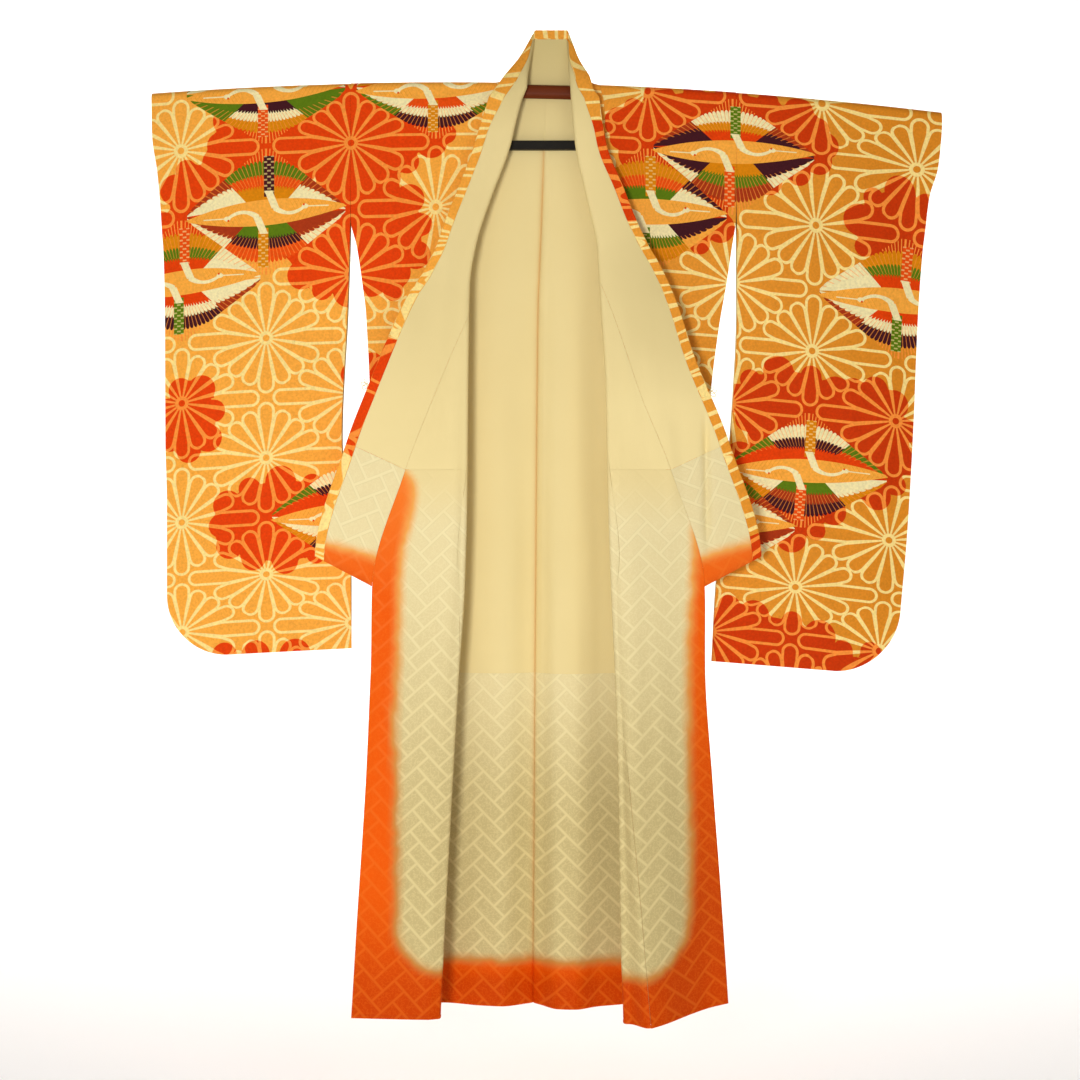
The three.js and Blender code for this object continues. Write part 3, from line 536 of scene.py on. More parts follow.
def collarHalf(front, neck):
    # From the foot up to the back of the neck. Each row is seam, roll and free edge.
    z = frontHeights[frontHeights >= robe["collarFoot"]][::-1, None]
    rise = read(collarRise, "rise", z)
    start = collarSeam(front, z) + seamGap / 2
    end = collarSeam(front, z) + np.sqrt(robe["collarWidth"] ** 2 - rise ** 2)
    c = collarPlaces(start, end, turnedWidth(z, 0), seamGap)
    leaf = frontPoint(front, c, z + rise * (c - start) / (end - start))

    k = neckRows[:, None]
    seam = overBar(read(neck, "out", k), read(neck, "over", k))
    roll, edge = [np.stack([read(neck, name + axis, k) for axis in "XYZ"], -1) for name in ("roll", "edge")]
    edge = np.where(k[..., None] > lastOpenRow, roll, edge)
    seamTurn, edgeTurn, middle, away, across, radius = neckTurns(seam, roll, edge)
    plain = np.linalg.norm(edge - roll, axis=-1, keepdims=True) < 1
    seamTurn = np.where(plain, roll, seamTurn)
    quarter = np.where(plain, 0, math.pi / 2 * radius)
    toSeam = np.linalg.norm(seam - seamTurn, axis=-1, keepdims=True)
    toEdge = np.where(plain, 0, np.linalg.norm(edge - edgeTurn, axis=-1, keepdims=True))
    start, end = (-quarter - toSeam)[..., 0], (quarter + toEdge)[..., 0]
    c = collarPlaces(start, end, turnedWidth(0, k), robe["neckGap"])[..., None]
    before = mix(seamTurn, seam, (-c - quarter) / toSeam)
    after = mix(edgeTurn, edge, (c - quarter) / np.maximum(toEdge, tiny))
    turn = c / np.maximum(radius, tiny)
    bend = middle - away * radius * np.cos(turn) + across * radius * np.sin(turn)
    rows = np.where(c <= -quarter, before, np.where(c > quarter, after, bend))
    return np.concatenate([leaf, mix(leaf[-1], rows[0], blendRows[..., None]), rows])


def collarGrid():
    # The left half from its foot up, then the right half down, sharing the middle of the back
    left, right = collarHalf(leftFront, leftNeck), collarHalf(rightFront, rightNeck)
    return np.concatenate([left, right[-2::-1]])


def sleeveGrid(sleeve, table):
    # One length folded over the bar; its two layers meet at the outer edge and along the foot
    bag, armhole = sleeveBag, robe["armhole"]
    corner = sleeve["bottomOuter"] + bag["corner"]
    turns = np.radians(np.linspace(0, 90, bag["cornerRows"]))[1:]
    hang = np.concatenate([[bag["top"]], heights(bag["next"], -armhole, corner)])
    level = np.concatenate([hang, corner - bag["corner"] * np.sin(turns)])[:, None]
    inset = np.concatenate([0 * hang, bag["corner"] * (1 - np.cos(turns))])[:, None]
    u = np.linspace(0, 1, columns["sleeve"] + 1)[None, :]
    outer = read(sleeve, "outer", level) - inset
    out = mix(outer, read(sleeve, "inner", level) + seamGap / 2, u)
    x = sleeve["sign"] * out
    bottom = mix(sleeve["bottomOuter"], sleeve["bottomInner"], u)
    slant = (bottom - sleeve["bottomOuter"]) * ease(-level / bag["slant"])
    z = level + slant + barTop(x) * ease(1 + level / bag["level"])
    shoulder = read(backRows, "side", np.maximum(level, -armhole))
    cuff = (level + armhole + bag["cuff"]) / bag["cuff"]
    sewn = ease(np.maximum((outer - out) / bag["edge"], cuff))
    opened = ease((z - bottom) / bag["foot"]) * sewn
    full = mix(shoulder, bag["depth"], fall(level, -armhole, bag["full"]))
    half = mix(bag["mouth"], full, opened)
    loose = fall(level, sleeveWear["top"], sleeveWear["over"]) * ease((z - bottom) / sleeveWear["foot"])
    loose = loose * ease((outer - out) / sleeveWear["edge"])
    seed = seeds["sleeve"] + sleeve["sign"]
    frontWorn = creases(table, out, z) + unevenness(out, z, seed, wear["sleeve"])
    backWorn = creases(table, out + sleeveWear["backAcross"], z + sleeveWear["backDown"])
    backWorn = backWorn + unevenness(out, z, seed + seeds["sleeveBack"], wear["sleeve"])
    back, front = [np.stack([x, y, z], -1) for y in (half + loose * backWorn, -half - loose * frontWorn)]
    down = clothDown(x[:1], z)
    s = np.linspace(-bag["overHalf"], bag["overHalf"], bag["overRows"])[:, None]
    topOuter, topInner = read(sleeve, "outer", np.array(0.0)), read(sleeve, "inner", np.array(0.0))
    ridgeOut = mix(topOuter, topInner + seamGap / 2, u) + 0 * s
    s = s + 0 * ridgeOut
    points = np.concatenate([back[::-1], overBar(sleeve["sign"] * ridgeOut, s), front])
    return points, np.concatenate([out[::-1], ridgeOut, out]), np.concatenate([-down[::-1], s, down])


def inwards(points, row):
    # Unit normals of a grid, turned towards the viewer at the last column of the given row
    normal = np.cross(np.gradient(points, axis=0), np.gradient(points, axis=1))
    normal /= np.maximum(np.linalg.norm(normal, axis=-1, keepdims=True), 1e-9)
    return normal if normal[row, -1, 1] < 0 else -normal


def newPiece(name, vertices, faces, sharpAngle, materials):
    # A smooth mesh that is sharp where its faces meet at more than the angle
    mesh = bpy.data.meshes.new(name)
    mesh.from_pydata(vertices, [], faces)
    mesh.update()
    mesh.polygons.foreach_set("use_smooth", np.ones(len(faces), bool))
    mesh.set_sharp_from_angle(angle=math.radians(sharpAngle))
    for material in materials:
        mesh.materials.append(material)
    piece = bpy.data.objects.new(name, mesh)
    bpy.context.scene.collection.objects.link(piece)
    return piece


def wall(name, points, normal, lower, upper, materials, maps=(), values=()):
    # A closed sheet on a grid: the same grid at two distances along its normals, joined round
    # the border. maps are UV pairs and values single numbers, one for each point of the grid.
    count, width = points.shape[:2]
    near = points + normal * np.broadcast_to(lower, (count, width))[..., None]
    far = points + normal * np.broadcast_to(upper, (count, width))[..., None]
    vertices = np.concatenate([near.reshape(-1, 3), far.reshape(-1, 3)]) * millimetre
    index = np.arange(count * width).reshape(count, width)
    a, b, c, d = index[:-1, :-1], index[1:, :-1], index[1:, 1:], index[:-1, 1:]
    inside = np.stack([a, d, c, b], -1).reshape(-1, 4)
    outside = np.stack([a, b, c, d], -1).reshape(-1, 4) + count * width
    ring = np.concatenate([index[0, :-1], index[:-1, -1], index[-1, :0:-1], index[:0:-1, 0]])
    following = np.roll(ring, -1)
    rim = np.stack([ring, following, following + count * width, ring + count * width], -1)
    faces = np.concatenate([inside, outside, rim])
    corners = vertices[faces]
    spans = np.cross(corners[:, 2] - corners[:, 0], corners[:, 3] - corners[:, 1])
    if (corners.mean(1) * spans).sum() < 0:
        faces = faces[:, ::-1]
    piece = newPiece(name, vertices.tolist(), faces.tolist(), 50, materials)
    mesh = piece.data
    loops = np.zeros(len(mesh.loops), np.int32)
    mesh.loops.foreach_get("vertex_index", loops)
    for label, first, second in maps:
        pair = np.stack([np.tile(np.ravel(first), 2), np.tile(np.ravel(second), 2)], -1)
        mesh.uv_layers.new(name=label).uv.foreach_set("vector", pair[loops].ravel())
    for label, value in values:
        attribute = mesh.attributes.new(label, "FLOAT", "POINT")
        attribute.data.foreach_set("value", np.tile(np.ravel(value), 2).astype(np.float32))
    slots = np.concatenate([np.zeros(len(inside)), np.ones(len(outside)), np.zeros(len(rim))])
    slots = np.minimum(slots, len(materials) - 1).astype(np.int32)
    mesh.polygons.foreach_set("material_index", slots)
    return piece


def tube(name, rings, material):
    # A closed loft through rings of points, with a fan at each end
    count, width = rings.shape[:2]
    ends = [rings[0].mean(0), rings[-1].mean(0)]
    vertices = np.concatenate([rings.reshape(-1, 3), ends]) * millimetre
    index = np.arange(count * width).reshape(count, width)
    following = np.roll(index, -1, axis=1)
    quads = np.stack([index[:-1], index[1:], following[1:], following[:-1]], -1).reshape(-1, 4)
    fans = [(count * width, int(a), int(b)) for a, b in zip(index[0], following[0])]
    fans += [(count * width + 1, int(b), int(a)) for a, b in zip(index[-1], following[-1])]
    faces = quads.tolist() + fans
    corners = vertices[quads[:width]]
    spans = np.cross(corners[:, 2] - corners[:, 0], corners[:, 3] - corners[:, 1])
    if ((corners.mean(1) - corners.mean((0, 1))) * spans).sum() < 0:
        faces = [face[::-1] for face in faces]
    return newPiece(name, vertices.tolist(), faces, 40, [material])


# The silk's figure: a lattice of rhombs, each with a chrysanthemum or a pair of cranes
figure = dict(
    across=144, half=102.5,                  # half the width and height of a rhomb
    firstLeft=186, firstRight=172,           # the first column's distance from the middle
    rightRows=40,                            # the right side's rows count from here
    petalWidth=12.3, wedge=10.3, line=2.35,
)
# Where the half rows of the figure lie down the cloth, as it was cut
figureRows = dict(
    columns=("down", "row"),
    rows=(
        (-1640, -16), (0, -0.1), (15, 0), (109, 1), (221, 2), (331, 3), (434, 4), (535, 5),
        (637, 6), (737, 7), (834, 8), (922, 9), (1640, 16),
    ),
)
# Columns across the right sleeve, as shares of its width, which narrows downwards
sleeveColumns = dict(
    columns=("share", "column"), rows=((-0.5, -0.1), (-0.02, 1), (0.416, 2), (0.893, 3), (1.37, 4)),
)
# Red clouds on the gold ground: middle (out, down), half width and half height
leftClouds = (
    (474, 104, 100, 92), (322, 100, 124, 104), (193, 101, 50, 32), (565, 170, 85, 60),
    (632, 255, 52, 62), (350, 296, 96, 88), (258, 262, 70, 90), (322, 196, 66, 44),
    (270, 344, 48, 40), (300, 540, 52, 80), (604, 562, 64, 76), (446, 745, 128, 90),
)
rightClouds = (
    (298, 86, 198, 98), (227, 224, 92, 72), (600, 215, 92, 88), (416, 530, 112, 80),
    (550, 575, 88, 112), (408, 662, 108, 110), (372, 932, 128, 66), (305, 890, 44, 36),
)
collarClouds = ((80, 290, 70, 115), (80, 1262, 60, 95), (80, 2020, 60, 70))
cloudEdge = dict(radius=22, uneven=5, spacing=46, shift=0.37)       # the lobes round a cloud
# Spare clouds: rows down the back and the front's foot, and the places across two rows in turn
spare = dict(
    back=(-1500, -80), foot=(960, 1560), step=205, across=((90, 350, 590), (220, 470, 590)),
    shift=40, halfWidth=(60, 120), halfHeight=(44, 78),
)


def spareClouds(seed):
    # Clouds for the back and for what the photograph hides, scattered on a loose lattice
    scatter = np.random.RandomState(seed)
    shift, rows = spare["shift"], []
    downs = np.concatenate([np.arange(*spare[part], spare["step"]) for part in ("back", "foot")])
    for i, down in enumerate(downs):
        for out in spare["across"][i % 2]:
            rows.append((
                out + scatter.uniform(-shift, shift), down + scatter.uniform(-shift, shift),
                scatter.uniform(*spare["halfWidth"]), scatter.uniform(*spare["halfHeight"])))
    return tuple(rows)


def cloudDistance(table, out, down):
    # Distance to the nearest cloud, below zero inside: an ellipse with round lobes along its edge
    nearest = np.full(out.shape, 1e3)
    for number, (x, z, halfWidth, halfHeight) in enumerate(table):
        a, b = halfWidth - cloudEdge["radius"], halfHeight - cloudEdge["radius"]
        ellipse = (np.hypot((out - x) / a, (down - z) / b) - 1) * min(a, b)
        nearest = np.minimum(nearest, ellipse)
        count = round(math.pi * (a + b) / cloudEdge["spacing"])
        for i in range(count):
            turn = 2 * math.pi * (i + cloudEdge["shift"] * number) / count
            radius = cloudEdge["radius"] + cloudEdge["uneven"] * math.sin(3 * i + number)
            lobe = np.hypot(out - x - a * math.cos(turn), down - z - b * math.sin(turn)) - radius
            nearest = np.minimum(nearest, lobe)
    return nearest


def silkMaps(sign, outs, downs, share=None):
    # UV of the figure, in columns and half rows, and the distance to the red clouds
    first = figure["firstLeft"] if sign < 0 else figure["firstRight"]
    across = sign * (outs - first) / figure["across"]
    if sign > 0 and share is not None:
        across = read(sleeveColumns, "column", share)
    rows = read(figureRows, "row", downs) + (figure["rightRows"] if sign > 0 else 0)
    table = (leftClouds if sign < 0 else rightClouds) + spareClouds(seeds["clouds"] + sign)
    return [("figure", across, rows)], [("cloud", cloudDistance(table, outs, downs) * millimetre)]


# A number in a material's node tree, so that a figure can be written as arithmetic
class Number:
    def __init__(self, tree, socket):
        self.tree = tree
        self.socket = socket

    def __add__(self, other):
        return calculate("ADD", self, other)

    def __sub__(self, other):
        return calculate("SUBTRACT", self, other)

    def __rsub__(self, other):
        return calculate("SUBTRACT", other, self)

    def __mul__(self, other):
        return calculate("MULTIPLY", self, other)

    def __truediv__(self, other):
        return calculate("DIVIDE", self, other)

    def __lt__(self, other):
        return calculate("LESS_THAN", self, other)

    def __gt__(self, other):
        return calculate("GREATER_THAN", self, other)

    def __abs__(self):
        return calculate("ABSOLUTE", self)

    __radd__ = __add__
    __rmul__ = __mul__


def calculate(kind, *values, clamp=False):
    # One step of arithmetic on numbers and plain values, as a math node
    tree = next(value.tree for value in values if isinstance(value, Number))
    node = tree.nodes.new("ShaderNodeMath")
    node.operation = kind
    node.use_clamp = clamp
    for socket, value in zip(node.inputs, values):
        if isinstance(value, Number):
            tree.links.new(value.socket, socket)
        else:
            socket.default_value = value
    return Number(tree, node.outputs[0])


def least(*values):
    # The smallest of the values, taken two at a time
    return values[0] if len(values) == 1 else calculate("MINIMUM", values[0], least(*values[1:]))


def most(*values):
    # The largest of the values, taken two at a time
    return values[0] if len(values) == 1 else calculate("MAXIMUM", values[0], most(*values[1:]))


def distance(x, y):
    # Distance of the point x, y from the middle
    return calculate("SQRT", x * x + y * y)


def ramp(value, slope, start):
    # slope times the value plus start, held between 0 and 1
    return calculate("MULTIPLY_ADD", value, slope, start, clamp=True)


def below(value, edge, soft=0.5):
    # 1 below the edge and 0 above it, changing over the soft width
    return ramp(value, -1 / soft, edge / soft + 0.5)


# Roughness, sheen and specular level of each material
looks = dict(
    outerSilk=(0.7, 0.02, 0.07), creamLining=(0.65, 0.02, 0.07), figuredLining=(0.6, 0, 0.04),
    varnishedWood=(0.5, 0, 0.12), satinBlack=(0.5, 0, 0.15), paleFloor=(0.9, 0, 0.3),
)


def newMaterial(name):
    # A material with its look, and its node tree and shader
    material = bpy.data.materials.new(name)
    material.use_nodes = True
    tree = material.node_tree
    shader = tree.nodes["Principled BSDF"]
    shader.inputs["Sheen Roughness"].default_value = 0.45
    for socket, value in zip(("Roughness", "Sheen Weight", "Specular IOR Level"), looks[name]):
        shader.inputs[socket].default_value = value
    return material, tree, shader


def colour(*levels):
    # Linear colour of an sRGB triple from 0 to 255
    shares = [level / 255 for level in levels]
    linear = [s / 12.92 if s <= 10 / 255 else ((s + 0.055) / 1.055) ** 2.4 for s in shares]
    return (*linear, 1)


def blendColour(tree, share, first, second, kind="MIX"):
    # The first colour at share 0 and the second at share 1. Sockets 0, 6 and 7 are those of a
    # colour blend: the node's other sockets have the same names.
    node = tree.nodes.new("ShaderNodeMix")
    node.data_type = "RGBA"
    node.blend_type = kind
    sockets = (node.inputs[0], node.inputs[6], node.inputs[7])
    for socket, value in zip(sockets, (share, first, second)):
        if isinstance(value, Number):
            tree.links.new(value.socket, socket)
        elif isinstance(value, bpy.types.NodeSocket):
            tree.links.new(value, socket)
        else:
            socket.default_value = value
    return node.outputs[2]


def noise(tree, scale, detail=2, stretch=None):
    # Noise in metres on the robe, whose features are about 1 / scale wide
    position = tree.nodes.new("ShaderNodeTexCoord").outputs["Object"]
    if stretch:
        mapping = tree.nodes.new("ShaderNodeMapping")
        mapping.inputs["Scale"].default_value = stretch
        tree.links.new(position, mapping.inputs["Vector"])
        position = mapping.outputs["Vector"]
    node = tree.nodes.new("ShaderNodeTexNoise")
    node.inputs["Scale"].default_value = scale
    node.inputs["Detail"].default_value = detail
    tree.links.new(position, node.inputs["Vector"])
    return Number(tree, node.outputs["Fac"])


def bump(tree, shader, height, depth, strength):
    # Relief of the given depth in metres
    node = tree.nodes.new("ShaderNodeBump")
    node.inputs["Distance"].default_value = depth
    node.inputs["Strength"].default_value = strength
    tree.links.new(height.socket, node.inputs["Height"])
    tree.links.new(node.outputs["Normal"], shader.inputs["Normal"])


def numbersOf(tree, vector, *axes):
    # Two of a vector's three numbers
    parts = tree.nodes.new("ShaderNodeSeparateXYZ")
    tree.links.new(vector, parts.inputs[0])
    return [Number(tree, parts.outputs[axis]) for axis in axes]


def objectPlace(tree):
    # The place on the robe, across and upwards, in metres
    return numbersOf(tree, tree.nodes.new("ShaderNodeTexCoord").outputs["Object"], "X", "Z")


def uvPair(tree, name):
    # The two numbers of a UV map
    node = tree.nodes.new("ShaderNodeUVMap")
    node.uv_map = name
    return numbersOf(tree, node.outputs["UV"], "X", "Y")


def pointValue(tree, name):
    # The number that wall keeps at each point under this name
    node = tree.nodes.new("ShaderNodeAttribute")
    node.attribute_name = name
    return Number(tree, node.outputs["Fac"])


# The darker gold and red are painted shade, for the ground towards the right side
dyes = dict(
    gold=colour(246, 168, 63), goldInPaintedShade=colour(219, 136, 34),
    red=colour(226, 64, 2), redInPaintedShade=colour(199, 55, 3), cream=colour(250, 222, 140),
    lineOnRed=colour(248, 146, 58), ochre=colour(218, 132, 6), green=colour(90, 120, 14),
    maroon=colour(66, 22, 30), brown=colour(166, 54, 18), pale=colour(242, 228, 172),
    orange=colour(232, 78, 10),
)
craneCells = (      # column, half row and plumage; the right side's rows count from 40
    (-3, 3, 5), (-2, 0, 3), (-2, 2, 0), (-1, 7, 2), (0, 0, 4), (3, 43, 5), (1, 41, 1), (2, 46, 2),
    (0, 42, 6), (1, 47, 0), (-2, -4, 1), (-1, -9, 2), (-3, -7, 0), (-1, -3, 5), (0, -6, 6),
    (0, -12, 3), (-1, -13, 4), (1, 37, 0), (2, 34, 5), (0, 34, 2), (3, 33, 3), (1, 31, 6),
    (0, 28, 1), (1, 27, 2),
)
# Feathers of the upper and the lower crane: next to the body, middle, outer, side, long side, tail
plumage = (
    ("ochre", "orange", "green", "pale", "brown", "maroon"),
    ("green", "maroon", "orange", "brown", "pale", "ochre"),
    ("red", "ochre", "pale", "maroon", "brown", "green"),
    ("ochre", "green", "brown", "maroon", "pale", "orange"),
    ("red", "maroon", "pale", "red", "green", "ochre"),
    ("green", "brown", "maroon", "pale", "ochre", "orange"),
    ("orange", "green", "ochre", "pale", "green", "maroon"),
    ("maroon", "pale", "ochre", "green", "green", "orange"),
    ("green", "pale", "brown", "ochre", "pale", "maroon"),
    ("orange", "pale", "maroon", "pale", "green", "ochre"),
    ("red", "green", "ochre", "pale", "pale", "orange"),
    ("red", "pale", "maroon", "pale", "brown", "green"),
    ("green", "orange", "ochre", "pale", "maroon", "ochre"),
    ("pale", "green", "ochre", "maroon", "gold", "green"),
)


# The flower in millimetres: the length of a petal and what is added to those that lie level,
# next to level and upright, its lines, where they start, and the ring in its middle
flower = dict(
    petals=8, petal=84, level=47, nextLevel=10, upright=9,
    thin=0.9, widening=0.03, linesFrom=12, ring=8.8, ringLine=3.1,
)


def chrysanthemum(x, y):
    # Petals as rounded wedges, longest to the sides, outlined, round a small ring
    radius = distance(x, y)
    angle = calculate("ARCTAN2", abs(y), abs(x))
    petal = calculate("ROUND", angle * (flower["petals"] / math.pi))
    turned = angle - petal * (math.pi / flower["petals"])
    along = radius * calculate("COSINE", turned)
    across = abs(radius * calculate("SINE", turned))
    tip = flower["petal"] + flower["level"] * (petal < 0.5)
    tip = tip + flower["nextLevel"] * (abs(petal - 1) < 0.5) + flower["upright"] * (petal > 3.5)
    line = least(radius * flower["widening"] + flower["thin"], figure["line"])
    past = most(along - (tip - figure["petalWidth"]), 0)
    wedge = math.radians(figure["wedge"])
    side = across * math.cos(wedge) - along * math.sin(wedge)
    outline = abs(most(side, distance(past, across) - figure["petalWidth"]))
    lines = ramp(line - outline, 2, 0.5) * (radius > flower["linesFrom"])
    return most(lines, below(abs(radius - flower["ring"]), flower["ringLine"]))


# A crane in millimetres from the middle of its rhomb. band, wing: half heights of the gold body
# and of the wings. middle, outer, side: where the wing's zones start, as shares of its height.
crane = dict(
    halfWidth=137, band=19, wing=79, wingEnd=134, bandEnd=136, fanFoot=16, feather=4.4,
    scallop=0.09, foot=-0.2, middle=0.36, outer=0.64, side=0.5, sideAngle=46, split=0.55,
    tailAcross=5, tailHalf=8.6, tailFoot=24, tailTop=86, tailScale=9,
    hair=3, hairFoot=74, hairTop=98, vane=7, vaneFrom=40,
)
# Its neck is a parabola that ends at the head, on a leaning base
bird = dict(
    neckFoot=12, neckLow=40, neckEnd=68, neckCurve=28, neckRise=11, wide=5.6, thin=2.7,
    baseAcross=5, baseHalf=6.6, baseFoot=6, baseTop=33, headX=66, headY=7, headHalf=(5.6, 3.7),
    beakEnd=106, beakHalf=0.9, crownX=64, crownY=10, crown=1.7,
)


def featherColours(tree, palette):
    # The colours of a bird's six zones: the row of the table at the palette's place, from 0 to 1
    colours = []
    for zone in range(len(plumage[0])):
        node = tree.nodes.new("ShaderNodeValToRGB")
        node.color_ramp.interpolation = "CONSTANT"
        stops = node.color_ramp.elements
        while len(stops) < len(plumage):
            stops.new(0.5)
        for i, row in enumerate(plumage):
            stops[i].position = i / len(plumage)
            stops[i].color = dyes[row[zone]]
        tree.links.new(palette.socket, node.inputs["Fac"])
        colours.append(node.outputs["Color"])
    return colours


def craneNeck(x, y):
    # Neck, head and beak, and the crown's spot; the second bird's are the first's turned by half
    half = calculate("SIGN", x + 0.35 * y)
    x, y = x * half, y * half
    curve = (x - bird["neckLow"]) / bird["neckCurve"]
    width = most(bird["wide"] - 0.15 * (x - 14), bird["thin"])
    neck = (abs(y + 2 - bird["neckRise"] * curve * curve) < width)
    neck = neck * (x > bird["neckFoot"]) * (x < bird["neckEnd"])
    base = abs(x - bird["baseAcross"] - 0.45 * (30 - y)) < bird["baseHalf"]
    base = base * (y > bird["baseFoot"]) * (y < bird["baseTop"])
    headX, headY = bird["headHalf"]
    head = distance((x - bird["headX"]) / headX, (y - bird["headY"]) / headY) < 1
    beak = (abs(y - bird["headY"]) < bird["beakHalf"]) * (x > bird["headX"]) * (x < bird["beakEnd"])
    crown = distance(x - bird["crownX"], y - bird["crownY"]) < bird["crown"]
    return most(neck, base, head, beak), crown


def cranes(tree, x, y, variant):
    # Two cranes head to tail in a rhomb, the lower one the upper one turned by half
    lower = y < 0
    flip = 1 - 2 * lower
    wingX, wingY = x * flip, y * flip
    out = abs(wingX)
    share = out / crane["halfWidth"]
    arch = 1 - share * share
    band, outline = crane["band"] * arch, crane["wing"] * arch
    height = (wingY - band) / most(outline - band, 1)
    fan = calculate("ARCTAN2", out, wingY + crane["fanFoot"])
    degrees = 180 / math.pi
    feather = abs(calculate("FRACT", fan * (degrees / crane["feather"])) - 0.5) * 2
    tipped = height + crane["scallop"] * feather * feather
    colours = featherColours(tree, (variant * 2 + lower + 0.5) / len(plumage))
    body, middle, outer, side, longSide, tailColour = colours

    wing = blendColour(tree, tipped > crane["middle"], body, middle)
    wing = blendColour(tree, tipped > crane["outer"], wing, outer)
    sides = blendColour(tree, tipped > crane["side"], side, longSide)
    wing = blendColour(tree, fan > math.radians(crane["sideAngle"]), wing, sides)
    parting = (feather > 0.8) * (height > crane["middle"]) * crane["split"]
    wing = blendColour(tree, parting, wing, dyes["lineOnRed"])
    wingMask = (tipped < 1) * (height > crane["foot"]) * (out < crane["wingEnd"])

    tailX = abs(wingX - crane["tailAcross"])
    scale = calculate("FRACT", wingY / crane["tailScale"] + 0.5 * (tailX > 3.2))
    tail = blendColour(tree, (abs(scale - 0.5) > 0.36) * 0.5, tailColour, dyes["cream"])
    tailMask = (tailX < crane["tailHalf"]) * (wingY > crane["tailFoot"]) * (wingY < crane["tailTop"])
    hair = (calculate("FRACT", fan * (degrees / crane["hair"])) < 0.3) * (wingY > crane["hairFoot"])
    hair = hair * (distance(wingX, wingY) < crane["hairTop"])
    tilt = abs(y - 0.05 * x)
    bandMask = (tilt < band + 1) * (out < crane["bandEnd"])
    vane = (calculate("FRACT", out / crane["vane"] + tilt / 11) < 0.12) * (out > crane["vaneFrom"])
    gold = blendColour(tree, vane * 0.5, dyes["gold"], dyes["ochre"])
    neck, crown = craneNeck(x, y)

    painted = blendColour(tree, hair, wing, dyes["lineOnRed"])
    layers = ((wingMask, wing), (tailMask, tail), (bandMask, gold),
              (neck, dyes["pale"]), (crown, dyes["red"]))
    for mask, layer in layers:
        painted = blendColour(tree, mask, painted, layer)
    return most(wingMask, tailMask, bandMask, hair), painted


def outerSilk():
    # The lattice of rhombs as whole numbers i and j of two slanting axes, with a flower or a pair
    # of cranes in each, over gold and red clouds darkened by painted shade towards the right, on crepe
    material, tree, shader = newMaterial("outerSilk")
    across, rows = uvPair(tree, "figure")
    s, t = (across + rows) * 0.5, (across - rows) * 0.5
    i, j = calculate("ROUND", s), calculate("ROUND", t)
    s, t = s - i, t - j
    x, y = (s + t) * figure["across"], (t - s) * figure["half"]
    cellAcross, cellRow = i + j, i - j
    isCrane, variant = 0, 0
    for column, row, palette in craneCells:
        match = (abs(cellAcross - column) + abs(cellRow - row)) < 0.5
        isCrane, variant = match + isCrane, match * palette + variant

    red = below(pointValue(tree, "cloud"), 0, 0.0008)
    # Painted shade: the gold and red ground darkens towards the right side
    right = ramp(objectPlace(tree)[0], 1.2, 0.3)
    gold = blendColour(tree, right, dyes["gold"], dyes["goldInPaintedShade"])
    ground = blendColour(tree, red, gold, blendColour(tree, right, dyes["red"], dyes["redInPaintedShade"]))
    lines = blendColour(tree, red, dyes["cream"], dyes["lineOnRed"])
    flowers = blendColour(tree, chrysanthemum(x, y) * (1 - isCrane), ground, lines)
    mask, painted = cranes(tree, x, y, variant)
    cloth = blendColour(tree, mask * isCrane, flowers, painted)

    mottle, fade = noise(tree, 260, 3), noise(tree, 5, 1)
    shade = calculate("MULTIPLY_ADD", mottle, 0.5, 0.75) + 0.12 * (fade - 0.5)
    grey = tree.nodes.new("ShaderNodeCombineColor")
    for socket in grey.inputs:
        tree.links.new(shade.socket, socket)
    cloth = blendColour(tree, 1.0, cloth, grey.outputs[0], "MULTIPLY")
    tree.links.new(cloth, shader.inputs["Base Color"])
    bump(tree, shader, noise(tree, 900, 2) + 0.6 * mottle, 0.0005, 0.5)
    return material


# The linings' tones; those in pairs change from the first to the second down the robe. The nape and leaf
# tones are painted shade, and the seam tone a brownish tint
tones = dict(
    cream=colour(240, 221, 161), creamDark=colour(234, 214, 153), nape=colour(196, 178, 118),
    seamTint=colour(214, 160, 96), paintedLeafShade=colour(120, 100, 48), figuredTop=colour(237, 217, 157),
    plain=(colour(236, 220, 168), colour(203, 185, 130)),
    raised=(colour(242, 228, 178), colour(225, 208, 150)), rim=colour(212, 201, 146),
    orange=(colour(241, 90, 0), colour(205, 66, 0)), orangeRaised=colour(248, 128, 36),
    orangeTop=colour(250, 130, 44), amber=(colour(243, 168, 84), colour(205, 138, 68)),
)
seamTintShare = 0.8         # of the brownish tint along the back seam
silkThread = (1, 1, 0.3)         # how the linings' fine noise is stretched down the cloth


def paintedShadeOnLeaves(tree, cloth, lowest, amount):
    # Painted shade darkens the lining towards the front edges, more on the right, above the lowest height
    x, z = objectPlace(tree)
    left = ramp(x, -7, -0.55) * 0.55
    right = ramp(x, 9, -0.6)
    height = ramp(z, 5, -5 * lowest)
    return blendColour(tree, (left + right) * height * amount, cloth, tones["paintedLeafShade"])


def creamLining():
    # Cream silk, a little darker in patches, with painted shade at the nape and towards the front edges,
    # and a brownish tint along the back seam
    material, tree, shader = newMaterial("creamLining")
    base = blendColour(tree, noise(tree, 7, 2), tones["cream"], tones["creamDark"])
    # Painted shade at the nape, inside the neck under the collar
    base = blendColour(tree, ramp(objectPlace(tree)[1], 4, 0.35), base, tones["nape"])
    base = blendColour(tree, pointValue(tree, "seam") * seamTintShare, base, tones["seamTint"])
    # Painted shade towards the front edges
    tree.links.new(paintedShadeOnLeaves(tree, base, -0.55, 0.24), shader.inputs["Base Color"])
    bump(tree, shader, noise(tree, 1100, 1, silkThread) + noise(tree, 60, 2), 0.0003, 0.4)
    return material


# The bricks in millimetres: how wide one is, and its joint's line and soft edge. outside is added to
# the distance on a side that has no joint, in widths of a brick.
brick = dict(width=25, line=4.5, soft=2.2, outside=9)


